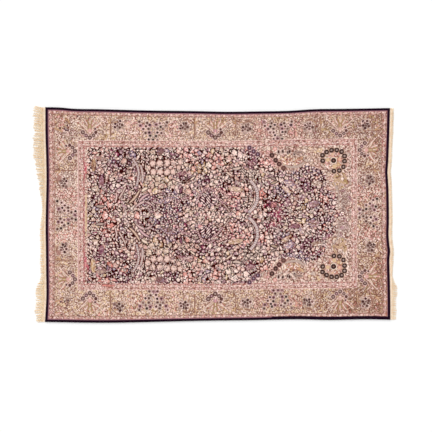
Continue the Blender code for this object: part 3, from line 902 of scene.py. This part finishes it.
def border(half, low, chance):
    """The wide border: palmettes, bouquets, stems and dotted lozenges on a fine beige ground."""
    left, out = (ALONG + LONG / 2)[None, :], OUT[:, None]
    mask = (left > BORDER_LEFT[0]) & (left < LONG - BORDER_RIGHT[0]) & (out < BORDER_OUT[1])
    mask &= ~((left > BORDER_LEFT[1]) & (left < LONG - BORDER_RIGHT[1]) & (out < BORDER_OUT[0]))
    beds = BORDER_BEDS
    if low:
        beds = LOW_BEDS + [(*row[:4], WARMER.get(row[4], row[4])) for row in beds]
    beds = [(*row, BORDER_FLOWER) for row in (*beds, ["b_warm" if low else "b_mixed"])]
    bloom(half, mask, sow([], mask, beds, 40000, chance), "tan bark walnut", BORDER_LINE, chance)
    for part, count, yarns, length, width in (
            (mask, 1200 if low else 1500, "walnut bark dusk moss walnut", (5, 14), 2.7),
            (mask, 2900 if low else 2200, "cream shell cream gold", None, 5.2),
            (mask, 900, "umber brick smoke walnut umber", None, 4.6),
            (mask & (out < 250), 420, "shell ivory cream", None, 5.6),
            (mask & (left > 300) & (left < 1000), 500, "cream shell gold", (5, 12), 3.4),
            (mask & (left > 1660), 950 if low else 620, "walnut moss umber", (5, 12), 3.4),
            (mask & (left > 1800) & (out > 330), 280 if low else 130, "walnut moss bark", (5, 12), 3.6)):
        scatter(half, part, count, yarns, chance, length, width)
    for x, y, cup, beads in ((-792, 524, "rose", 1.0), (-14, 529, "lilac", 1.13), (760, 526, "sand", 0.95)):
        palmette(half, x, y, 90, chance, cup, beads)
    for x, y in ((-614, 562), (-205, 556), (181, 546), (564, 546)):
        bouquet(half, x, y, 90, chance)
    for x, y, side in ((-664, 547, 1), (-142, 553, -1), (112, 554, 1), (637, 540, -1)):
        bracket(half, x, y, 90, side)
    for x, y, facing in ((-399, 461, 90), (374, 461, 90), (BORDER_LEFT[1] - 6 - LONG / 2, 0, 180),
                         (LONG / 2 - BORDER_RIGHT[1] + 6, 0, 0)):
        diamond(half, x, y, facing, chance)
    palmette(half, -928, 397, 180, chance)
    palmette(half, 924, 392, 0, chance, beads=0.95)
    bracket(half, -954, 277, 180, 1)
    bracket(half, 956, 269, 0, -1)
    bracket(half, 957, 517, 0, 1)
    bouquet(half, -955, 204, 180, chance)
    leaf(half, -986, 231, 32, 24, 60, "dusk", vein="bark", edge="bark", rim=2)
    bouquet(half, 948, 206, 0, chance)
    bouquet(half, 917, 551, 0, chance)
    vine(half, ((-1010, 535), (-988, 526), (-963, 516)), 6, "ochre", "tan", rim=2)
    for x, y in rows_of("-1017 569, -933 572, -931 552, -928 535, -974 533, -948 530, -939 523, -927 524,"
                        "-965 609, -867 612"):
        spot(half, x, y, 12, one_of("indigo walnut slate", chance))


OUTER_BEDS = rows_of("1000 627 460 60 deep 13, 1040 500 60 300 deep 13, 0 634 1600 24 side 13, outer 14")
LOW_OUTER_BEDS = rows_of("900 627 700 60 deep 13, 1040 430 60 380 deep 13, 0 634 1600 24 side 13, outer 14")
# Straight bands from the outside in: left, right, inner and outer edge, yarn.
BANDS = (
    (13, 53, 0, 640, "madder"), (LONG - 44, LONG - 13, 0, 640, "madder"), (53, LONG - 44, 614, 640, "madder"),
    (53, 57, 0, 614, "bark"), (53, LONG - 44, 613, 617, "tan"), (LONG - 48, LONG - 44, 0, 614, "dusk"),
    (198, LONG - 200, 0, 463, "faded"),
)
# Lines around: left, right, how far out, width, yarn.
FRAME_LINES = ((53, LONG - 44, 617, 3.6, "bark"), (198, LONG - 200, 463, 3.2, "blush"),
               (202, LONG - 204, 459, 3.6, "garnet"), (235, LONG - 236, 428, 3.4, "garnet"))
# The dark edge: how wide it is at the left end, the right end and the sides.
DARK_LEFT, DARK_RIGHT, DARK_SIDE = 16, 15, 8.2
LOW_DARK_SIDE = 12  # it widens towards the lower right corner
LOW_DARK_FROM = 1400
SOFT_EDGE = 4.5  # a mauve line between the dark edge and the outer guard


def paint_half(seed, low):
    """One half of the knot chart, from the long axis out. The two halves mirror, with small differences."""
    chance = random.Random(seed)
    half = np.full((OUT.size, ALONG.size), YARN["madder"], np.uint8)
    border(half, low, chance)
    for band in BANDS:
        zone(half, *band)
    for yarn, beds, specks in (("faded", [("inner", 15)], 520),
                               ("madder", LOW_OUTER_BEDS if low else OUTER_BEDS, 260)):
        band = half == YARN[yarn]
        bloom(half, band, sow([], band, beds, 9000, chance), "dusk bark walnut", GUARD_LINE, chance)
        scatter(half, band, 420, "umber plum walnut brick", chance, None, 4.6)
        scatter(half, band, specks, "shell ivory blush", chance, None, 5.2)
    zone(half, 246, 252, 0, 130, "gold")  # a light line at the field's left end
    guards(half, chance)
    for left, right, top, wide, yarn in FRAME_LINES:
        zone(half, left, left + wide, 0, top, yarn)
        zone(half, right - wide, right, 0, top, yarn)
        zone(half, left, right, top - wide, top, yarn)
    # a red stretch of the same end
    zone(half, 238, 246, 225, 330, "garnet")
    zone(half, 241, 253, 262, 322, "cerise")
    scatter(half, half == YARN["cerise"], 14, "pink blush salmon", chance, (6, 12), 3.4)
    spandrel(half, chance)
    field(half, chance, low)
    for wider, yarn in ((SOFT_EDGE, "mauve"), (0, "ink")):
        zone(half, 0, DARK_LEFT + wider, 0, WIDE, yarn)
        zone(half, LONG - DARK_RIGHT - wider, LONG, 0, WIDE, yarn)
        zone(half, 0, LONG, WIDE / 2 - DARK_SIDE - wider, WIDE, yarn)
    if low:
        zone(half, LOW_DARK_FROM, LONG, WIDE / 2 - LOW_DARK_SIDE, WIDE, "ink")
    return half


UPPER_SEED = 5
LOWER_SEED = 23
CHART = np.vstack((paint_half(LOWER_SEED, True)[::-1], paint_half(UPPER_SEED, False)))

DYE_SPREAD = 0.05
SKEIN = 24  # columns of knots that come from one skein
yarn_colours = np.array([linear(srgb) for srgb in KNOT_YARNS.values()])
DARK_YARNS = [YARN[name] for name in ("ink", "aubergine", "night", "umber", "indigo")]
knot_chance = np.random.RandomState(41)
# Each knot takes the dye a little differently, and each skein too.
knot_tone = 1 + DYE_SPREAD * knot_chance.standard_normal(CHART.shape)
skeins = np.interp(np.arange(KNOT_COLUMNS), np.arange(0, KNOT_COLUMNS + SKEIN, SKEIN),
                   knot_chance.uniform(0.97, 1.03, KNOT_COLUMNS // SKEIN + 2))
knot_colours = yarn_colours[CHART] * (knot_tone * skeins)[..., None]
knot_heights = (PILE_TOP - DARK_WEAR * np.isin(CHART, DARK_YARNS)
                + SHEARING * knot_chance.standard_normal(CHART.shape))
padded_heights = np.pad(knot_heights, 1, mode="edge")
corner_heights = (padded_heights[1:, 1:] + padded_heights[:-1, 1:] + padded_heights[1:, :-1]
                  + padded_heights[:-1, :-1]) / 4


def wool_colour(tree, place):
    knot = add_node(tree, "ShaderNodeAttribute", attribute_name="knot")
    # fibres of a knot's cut end, 2.6 mm across
    fibre = add_node(tree, "ShaderNodeTexNoise", {"Vector": place, "Scale": 420.0, "Detail": 3.0})
    tone = add_node(tree, "ShaderNodeMapRange", {"Value": fibre.outputs["Fac"], "From Min": 0.3,
                                                 "From Max": 0.7, "To Min": 0.90, "To Max": 1.10})
    dyed = add_node(tree, "ShaderNodeVectorMath", {0: knot.outputs["Color"], "Scale": tone.outputs["Result"]},
                    operation="SCALE")
    return dyed.outputs["Vector"]


def wool_height(tree, place):
    tufts = add_node(tree, "ShaderNodeTexVoronoi", {"Vector": place, "Scale": 385.0})  # 2.6 mm apart
    return tufts.outputs["Distance"]


# Sheared sheep's wool: matt, with a soft sheen at low angles from the cut fibre ends.
pile_wool = finished("sheared_wool_pile", wool_colour, wool_height, 0.35, 0.0006,
                     {"Roughness": 0.93, "Specular IOR Level": 0.06, "Sheen Weight": 0.02,
                      "Sheen Roughness": 0.35})


def dye(mesh, rows, columns):
    """Gives each face of a mesh the colour of the knot at its row and column."""
    tone = mesh.attributes.new("knot", "FLOAT_COLOR", "FACE")
    colours = np.column_stack((knot_colours[rows, columns], np.ones(len(rows))))
    tone.data.foreach_set("color", colours.ravel())


strip_rows = KNOT_ROWS // STRIPS
pile_strips = []
for strip in range(STRIPS):
    bm = bmesh.new()
    bmesh.ops.create_grid(bm, x_segments=KNOT_COLUMNS, y_segments=strip_rows, size=1)
    made = bmesh.ops.extrude_edge_only(bm, edges=[e for e in bm.edges if e.is_boundary])["geom"]
    foot = [v for v in made if isinstance(v, bmesh.types.BMVert)]
    bmesh.ops.translate(bm, verts=foot, vec=(0, 0, -1))
    bmesh.ops.holes_fill(bm, edges=[e for e in bm.edges if e.is_boundary], sides=0)
    bmesh.ops.recalc_face_normals(bm, faces=bm.faces)
    mesh = mesh_of(bm, f"pile_{strip + 1}")
    co = values_of(mesh.vertices, "co")
    across = (co[:, 0] + 1) / 2 * KNOT_COLUMNS
    up = (co[:, 1] + 1) / 2 * strip_rows
    centres = (values_of(mesh.polygons, "center") + 1) / 2
    c = np.clip(centres[:, 0] * KNOT_COLUMNS, 0, KNOT_COLUMNS - 1).astype(int)
    r = np.clip(centres[:, 1] * strip_rows, 0, strip_rows - 1).astype(int)
    dye(mesh, r + strip * strip_rows, c)
    # the bake's map: the strip in three lengths, one above another
    loop_vert = values_of(mesh.loops, "vertex_index", 1, int)
    totals = values_of(mesh.polygons, "loop_total", 1, int)
    cut = -(-KNOT_COLUMNS // 3)
    length_of = np.repeat(np.clip(c // cut, 0, 2), totals)
    u = 0.008 + (across[loop_vert] - length_of * cut) / cut * 0.97
    v = (length_of + 0.02 + up[loop_vert] / strip_rows * 0.96) / 3
    # the walls stand a little outside the map's face, and the underside in a strip beside it
    wall = co[loop_vert, :2] * (co[loop_vert, 2] < -0.5)[:, None]
    wall = 0.003 * np.sign(wall) * (np.abs(wall) > 0.9999)
    under = np.repeat(totals > 4, totals)
    u = np.where(under, 0.986 + 0.010 * across[loop_vert] / KNOT_COLUMNS, u + wall[:, 0])
    v = np.where(under, 0.1 + 0.8 * up[loop_vert] / strip_rows, v + wall[:, 1])
    mesh.uv_layers.new(name="OFBake").data.foreach_set("uv", np.column_stack((u, v)).ravel())
    row = np.rint(up).astype(int) + strip * strip_rows
    col = np.rint(across).astype(int)
    x = (col / KNOT_COLUMNS - 0.5) * BODY_LENGTH
    y = (row / KNOT_ROWS - 0.5) * BODY_WIDTH
    rim = np.minimum(BODY_LENGTH / 2 - np.abs(x), BODY_WIDTH / 2 - np.abs(y))
    drop = RIM_ROUND * (1 - np.sqrt(1 - np.clip(1 - rim / RIM_REACH, 0, 1) ** 2))
    lay(mesh, x, y, np.where(co[:, 2] > -0.5, corner_heights[row, col] - drop, CLOTH_TOP))
    pile_strips.append(make_piece(f"pile_{strip + 1}", mesh, pile_wool))

# ---- Ground cloth ----
# The cotton cloth that the knots are tied on: plied cotton warps along the rug and a weft
# after every row of knots. Its back shows the same pattern, flat and a little dimmer.
CLOTH_ALONG = 120
CLOTH_ACROSS = 74
bm = bmesh.new()
bmesh.ops.create_grid(bm, x_segments=CLOTH_ALONG, y_segments=CLOTH_ACROSS, size=1)
bmesh.ops.solidify(bm, geom=bm.faces[:], thickness=CLOTH_TOP)
mesh = mesh_of(bm, "ground_cloth")
c, r, _ = np.clip((values_of(mesh.polygons, "center") + 1) / 2, 0, 0.999).T
dye(mesh, (r * KNOT_ROWS).astype(int), (c * KNOT_COLUMNS).astype(int))
x, y, z = np.clip(values_of(mesh.vertices, "co"), -1, 1).T
lay(mesh, x * BODY_LENGTH / 2, y * BODY_WIDTH / 2, np.where(z > z.mean(), CLOTH_TOP, 0.0))


def cloth_height(tree, place):
    """A weft line after every second row of knots, 5.2 mm apart, so that it shows."""
    weft = add_node(tree, "ShaderNodeTexWave", {"Vector": place, "Scale": 61.0, "Distortion": 1.2},
                    bands_direction="X")
    return weft.outputs["Fac"]


def cloth_colour(tree, place):
    knot = add_node(tree, "ShaderNodeAttribute", attribute_name="knot")
    share = add_node(tree, "ShaderNodeMapRange", {"Value": cloth_height(tree, place), "From Min": 0.0,
                                                  "From Max": 1.0, "To Min": 0.15, "To Max": 0.5})
    mixed = add_node(tree, "ShaderNodeMix", {"Factor": share.outputs["Result"], "A": knot.outputs["Color"],
                                             "B": (*linear("d8c4ac"), 1)}, data_type="RGBA")
    return mixed.outputs["Result"]


# Cotton and flat wool knots, close woven: matt and even.
cloth_cotton = finished("cotton_ground_cloth", cloth_colour, cloth_height, 0.4, 0.0004,
                        {"Roughness": 0.9, "Specular IOR Level": 0.2, "Sheen Weight": 0.1})
ground_cloth = make_piece("ground_cloth", mesh, cloth_cotton)
for piece in [ground_cloth] + pile_strips:
    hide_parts("knotted_body")

# ---- Side cords ----
# The selvedge of each long side: the outermost warps, overcast with dark wool yarn into a
# firm cord. The wraps lean a little, and each stands out as a small rib.
CORD_WIDTH = 0.0074
CORD_HEIGHT = 0.0072
CORD_SIDES = 8
CORD_RINGS = 1330
WRAP_PITCH = 0.0048  # real wraps are 1.5 mm wide, drawn coarser so that they show
WRAP_RIB = 0.00045
SEAM = 0.0003


def long_side(x, side):
    """Places along a long edge of the body."""
    return laid_out(x, np.full_like(x, side * BODY_WIDTH / 2))


def cord_colour(tree, place):
    # worn and faded stretches some 30 mm long, and single wraps
    worn = add_node(tree, "ShaderNodeTexNoise", {"Vector": place, "Scale": 30.0, "Detail": 4.0})
    tones = add_node(tree, "ShaderNodeValToRGB", {"Fac": worn.outputs["Fac"]},
                     ((0.32, "170512"), (0.75, "270c20")))
    return tones.outputs["Color"]


def cord_height(tree, place):
    hair = add_node(tree, "ShaderNodeTexNoise", {"Vector": place, "Scale": 900.0, "Detail": 3.0})
    return hair.outputs["Fac"]


# Tightly wound dark wool yarn: matt, with a faint fuzz.
side_wool = finished("overcast_dark_wool", cord_colour, cord_height, 0.5, 0.0005,
                     {"Roughness": 0.9, "Specular IOR Level": 0.04, "Sheen Weight": 0.01,
                      "Sheen Roughness": 0.5})


def move_to(bm, x, y, z):
    """Puts each corner of a bmesh at its place."""
    for vert, place in zip(bm.verts, zip(x, y, z)):
        vert.co = place


for name, side in (("cord_upper", 1), ("cord_lower", -1)):
    bm = bmesh.new()
    bmesh.ops.create_grid(bm, x_segments=CORD_RINGS, y_segments=CORD_SIDES, size=1)
    t = (np.array([v.co.x for v in bm.verts]) + 1) / 2
    turn = (np.array([v.co.y for v in bm.verts]) + 1) * math.pi
    x, y = long_side((t - 0.5) * BODY_LENGTH, side)
    rib = 1 + WRAP_RIB / CORD_WIDTH * 2 * np.cos(2 * math.pi * t * BODY_LENGTH / WRAP_PITCH + turn)
    y = y + side * (SEAM + CORD_WIDTH / 2) + np.cos(turn) * CORD_WIDTH / 2 * rib
    move_to(bm, x, y, np.maximum(CORD_HEIGHT / 2 * (1 + np.sin(turn) * rib), 0))
    bmesh.ops.remove_doubles(bm, verts=bm.verts, dist=0.00001)
    bmesh.ops.holes_fill(bm, edges=[e for e in bm.edges if e.is_boundary], sides=0)
    bmesh.ops.recalc_face_normals(bm, faces=bm.faces)
    mesh = mesh_of(bm, name)
    mesh.polygons.foreach_set("use_smooth", [True] * len(mesh.polygons))
    make_piece(name, mesh, side_wool)
    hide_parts("side_" + name)

# ---- Flatwoven end strips ----
# A narrow kilim at each end, woven in cotton weft over the warps to keep the knots from
# working loose. The weft's ribs run along it.
STRIP_WIDTH = 0.014
STRIP_THICK = 0.0032
STRIP_RIB = 0.0003
STRIP_ALONG = 330
STRIP_ACROSS = 7


def end_side(y, side):
    """Places along an end of the body, and past its corners beside the cords."""
    return laid_out(np.full_like(y, side * BODY_LENGTH / 2), y)


def strip_colour(tree, place):
    slub = add_node(tree, "ShaderNodeTexNoise", {"Vector": place, "Scale": 60.0, "Detail": 5.0})
    tones = add_node(tree, "ShaderNodeValToRGB", {"Fac": slub.outputs["Fac"]},
                     ((0.3, "e6cab0"), (0.7, "fbe6cf")))
    return tones.outputs["Color"]


def strip_height(tree, place):
    # warps under the weft, drawn 3.4 mm apart so that they show
    warps = add_node(tree, "ShaderNodeTexWave", {"Vector": place, "Scale": 93.0, "Distortion": 0.8},
                     bands_direction="Y")
    return warps.outputs["Fac"]


# Unbleached plied cotton, flat woven: matt cream with slubs.
strip_cotton = finished("flatwoven_unbleached_cotton", strip_colour, strip_height, 0.6, 0.0005,
                        {"Roughness": 0.9, "Specular IOR Level": 0.25, "Sheen Weight": 0.1})

for name, side in (("strip_left", -1), ("strip_right", 1)):
    bm = bmesh.new()
    bmesh.ops.create_grid(bm, x_segments=STRIP_ACROSS, y_segments=STRIP_ALONG, size=1)
    bmesh.ops.solidify(bm, geom=bm.faces[:], thickness=0.1)
    co = np.array([v.co for v in bm.verts])
    out = (np.clip(co[:, 0], -1, 1) + 1) / 2
    y = np.clip(co[:, 1], -1, 1) * (BODY_WIDTH / 2 + CORD_WIDTH)
    x, y = end_side(y, side)
    rib = STRIP_RIB * np.cos(out * math.pi * STRIP_ACROSS)
    z = np.where(co[:, 2] > co[:, 2].mean(), STRIP_THICK - rib - STRIP_RIB, 0.0)
    move_to(bm, x + side * (SEAM + out * STRIP_WIDTH), y, z)
    bmesh.ops.recalc_face_normals(bm, faces=bm.faces)
    make_piece(name, mesh_of(bm, name), strip_cotton)

# ---- Fringe ----
# The warps' loose ends: plied cotton yarns that leave the strip side by side and lie on the
# floor, combed into locks that pair up at their tips. The right end's are worn short.
LEFT_FRINGE = (  # across in m, reach in mm, lean in degrees
    (-0.655, 34.0, -14.0), (-0.610, 46.0, -10.0), (-0.580, 54.0, -4.0), (-0.540, 46.0, 6.0),
    (-0.500, 50.0, 3.0), (-0.440, 45.0, -6.0), (-0.400, 26.0, -4.0), (-0.290, 24.0, 4.0),
    (-0.190, 21.0, 6.0), (-0.060, 19.0, -3.0), (0.010, 12.0, -4.0), (0.110, 16.0, -8.0),
    (0.160, 28.0, -12.0), (0.215, 33.0, -10.0), (0.260, 47.0, -6.0), (0.310, 50.0, 4.0),
    (0.360, 60.0, 6.0), (0.460, 60.0, 2.0), (0.560, 57.0, 9.0), (0.620, 61.0, 12.0),
    (0.655, 52.0, 15.0),
)
RIGHT_FRINGE = (
    (-0.655, 22.0, -10.0), (-0.600, 24.0, -6.0), (-0.530, 23.0, -4.0), (-0.480, 31.0, -12.0),
    (-0.450, 30.0, -12.0), (-0.425, 15.0, -6.0), (-0.300, 12.0, 2.0), (-0.100, 10.0, 5.0),
    (0.200, 9.0, -5.0), (0.400, 10.0, 4.0), (0.600, 12.0, 8.0), (0.655, 11.0, 10.0),
)
YARN_SIDES = 3
YARN_JOINTS = 7
YARN_WIDTH = 0.0019
LOCK_PITCH = 0.0134
ROOT_DEPTH = 0.004  # how far a yarn starts inside the strip
ROOT_STRAY = 0.0006
YARN_BEND = 0.0022
YARN_LIFT = 0.0016
UNEVEN_LOCK, UNEVEN_YARN = 0.10, 0.09  # shares of a yarn's reach
STRAY_LEAN = 2.5  # degrees, of a lock and of a yarn
LOCK_PULL, PAIR_PULL = 0.55, 0.18  # how far yarns draw in to their lock, and two locks to each other
FRINGES = (  # name, side, its table, number of yarns, seed
    ("fringe_left", -1, LEFT_FRINGE, 760, 3),
    ("fringe_right", 1, RIGHT_FRINGE, 560, 8),
)


def yarn_colour(tree, place):
    shade = add_node(tree, "ShaderNodeAttribute", attribute_name="shade")
    dust = add_node(tree, "ShaderNodeTexNoise", {"Vector": place, "Scale": 45.0, "Detail": 4.0})
    both = add_node(tree, "ShaderNodeMath", {0: shade.outputs["Fac"], 1: dust.outputs["Fac"]},
                    operation="ADD")
    mean = add_node(tree, "ShaderNodeMath", {0: both.outputs["Value"], 1: 0.5}, operation="MULTIPLY")
    tones = add_node(tree, "ShaderNodeValToRGB", {"Fac": mean.outputs["Value"]},
                     ((0.2, "f0cda2"), (0.72, "fff0d6")))
    return tones.outputs["Color"]


def yarn_height(tree, place):
    ply = add_node(tree, "ShaderNodeTexNoise", {"Vector": place, "Scale": 1200.0, "Detail": 2.0})
    return ply.outputs["Fac"]


# Plied cotton yarn, undyed and a little soiled: matt cream.
fringe_cotton = finished("plied_cotton_fringe", yarn_colour, yarn_height, 0.5, 0.0004,
                         {"Roughness": 0.9, "Specular IOR Level": 0.15, "Sheen Weight": 0.05})

for name, side, table, count, seed in FRINGES:
    chance = np.random.RandomState(seed)
    bm = bmesh.new()
    per_yarn = YARN_SIDES + 1
    rows = count * per_yarn - 1
    bmesh.ops.create_grid(bm, x_segments=YARN_JOINTS, y_segments=rows, size=1)
    bm.verts.ensure_lookup_table()
    between = [f for f in bm.faces
               if round((f.calc_center_median().y + 1) / 2 * rows - 0.5) % per_yarn == YARN_SIDES]
    bmesh.ops.delete(bm, geom=between, context="FACES_ONLY")
    bmesh.ops.delete(bm, geom=[e for e in bm.edges if not e.link_faces], context="EDGES")
    co = np.array([v.co for v in bm.verts])
    joint = np.rint((co[:, 0] + 1) / 2 * YARN_JOINTS)
    line = np.rint((co[:, 1] + 1) / 2 * rows).astype(int)
    yarn, corner = line // per_yarn, line % per_yarn
    # where each yarn leaves the strip, how far it reaches and which way it leans
    half_width = BODY_WIDTH / 2 + CORD_WIDTH - YARN_WIDTH
    root = np.linspace(-half_width, half_width, count) + chance.uniform(-ROOT_STRAY, ROOT_STRAY, count)
    lock = np.floor(root / LOCK_PITCH).astype(int)
    lock_chance = chance.uniform(-1, 1, (3, lock.max() - lock.min() + 2))
    middle = (lock + 0.5) * LOCK_PITCH
    paired = (np.floor(root / LOCK_PITCH / 2) + 0.5) * LOCK_PITCH * 2
    lock -= lock.min()
    uneven = 1 + UNEVEN_LOCK * lock_chance[0][lock] + UNEVEN_YARN * chance.uniform(-1, 1, count)
    reach = column(table, root, 1) / 1000 * uneven
    lean = np.radians(column(table, root, 2) + STRAY_LEAN * lock_chance[1][lock]
                      + STRAY_LEAN * chance.uniform(-1, 1, count))
    gather = (middle - root) * LOCK_PULL + (paired - middle) * PAIR_PULL * lock_chance[2][lock]
    bend = chance.uniform(-YARN_BEND, YARN_BEND, (2, count))
    lift = chance.uniform(0, 1, count)
    # each corner of each yarn, from its root to its tip
    t = np.clip((joint - 0.5) / (YARN_JOINTS - 1.5), 0, 1)
    along = -ROOT_DEPTH + t * (reach[yarn] + ROOT_DEPTH)
    sway = (np.tan(lean[yarn]) * reach[yarn] * t**1.4 + gather[yarn] * t**1.3
            + bend[0][yarn] * np.sin(t * 5.5) * t + bend[1][yarn] * np.sin(t * 11) * t)
    thick = YARN_WIDTH / 2 * np.where((joint == 0) | (joint == YARN_JOINTS), 0.02, 1 - 0.25 * t)
    turn = 2 * math.pi * corner / YARN_SIDES + math.pi / 2
    base_x, base_y = end_side(root, side)
    high = 0.0011 + (STRIP_THICK - 0.0013) * (1 - t) ** 0.7 + lift[yarn] * YARN_LIFT * np.sin(math.pi * t)
    move_to(bm, base_x[yarn] + side * (SEAM + STRIP_WIDTH + along),
            base_y[yarn] + sway + thick * np.cos(turn), np.maximum(high + thick * np.sin(turn), 0.0))
    bm.verts.index_update()
    layer = bm.faces.layers.float.new("shade")
    shades = chance.uniform(0.15, 0.85, count)
    for face in bm.faces:
        face[layer] = shades[yarn[face.verts[0].index]]
    bmesh.ops.remove_doubles(bm, verts=bm.verts, dist=0.00004)
    bmesh.ops.recalc_face_normals(bm, faces=bm.faces)
    make_piece(name, mesh_of(bm, name), fringe_cotton)
    end = name.split("_")[1]
    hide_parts("fringed_end_" + end)
    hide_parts("fringed_end_" + end)

# ---- Studio ----
# A plain white floor under soft light, and the camera straight above the rug.
bm = bmesh.new()
bmesh.ops.create_grid(bm, x_segments=1, y_segments=1, size=6)
mesh = mesh_of(bm, "studio_floor")
floor_paint = bpy.data.materials.new("matt_white_paint")
floor_paint.use_nodes = True
floor_shader = floor_paint.node_tree.nodes["Principled BSDF"]
floor_shader.inputs["Base Color"].default_value = (*linear("fafafa"), 1)
floor_shader.inputs["Roughness"].default_value = 0.9
floor_shader.inputs["Specular IOR Level"].default_value = 0.1
mesh.materials.append(floor_paint)
floor = bpy.data.objects.new("studio_floor", mesh)
bpy.context.scene.collection.objects.link(floor)

SKY_LEVEL = 0.78
LAMP_POWER = 1.95
LAMP_SOFTNESS = 0.6  # radians across
LAMP_TILT = (math.radians(-50), math.radians(-42), 0)
world = bpy.data.worlds.new("studio_sky")
world.use_nodes = True
world.node_tree.nodes["Background"].inputs["Color"].default_value = (1, 1, 1, 1)
world.node_tree.nodes["Background"].inputs["Strength"].default_value = SKY_LEVEL
bpy.context.scene.world = world
lamp_data = bpy.data.lights.new("soft_lamp", "SUN")
lamp_data.energy = LAMP_POWER
lamp_data.angle = LAMP_SOFTNESS
lamp = bpy.data.objects.new("soft_lamp", lamp_data)
lamp.rotation_euler = LAMP_TILT
bpy.context.scene.collection.objects.link(lamp)

VIEW_WIDTH = 2.678  # what the photograph takes in, across the rug's face
CAMERA_HEIGHT = 5.0
SENSOR_WIDTH = 36  # mm
CAMERA_X = 0.0050
CAMERA_Y = -0.0066
camera_data = bpy.data.cameras.new("camera")
camera_data.sensor_width = SENSOR_WIDTH
camera_data.lens = SENSOR_WIDTH * (CAMERA_HEIGHT - PILE_TOP) / VIEW_WIDTH
camera = bpy.data.objects.new("camera", camera_data)
camera.location = (CAMERA_X, CAMERA_Y, CAMERA_HEIGHT)
bpy.context.scene.collection.objects.link(camera)
bpy.context.scene.camera = camera
bpy.context.scene.view_settings.view_transform = "Standard"
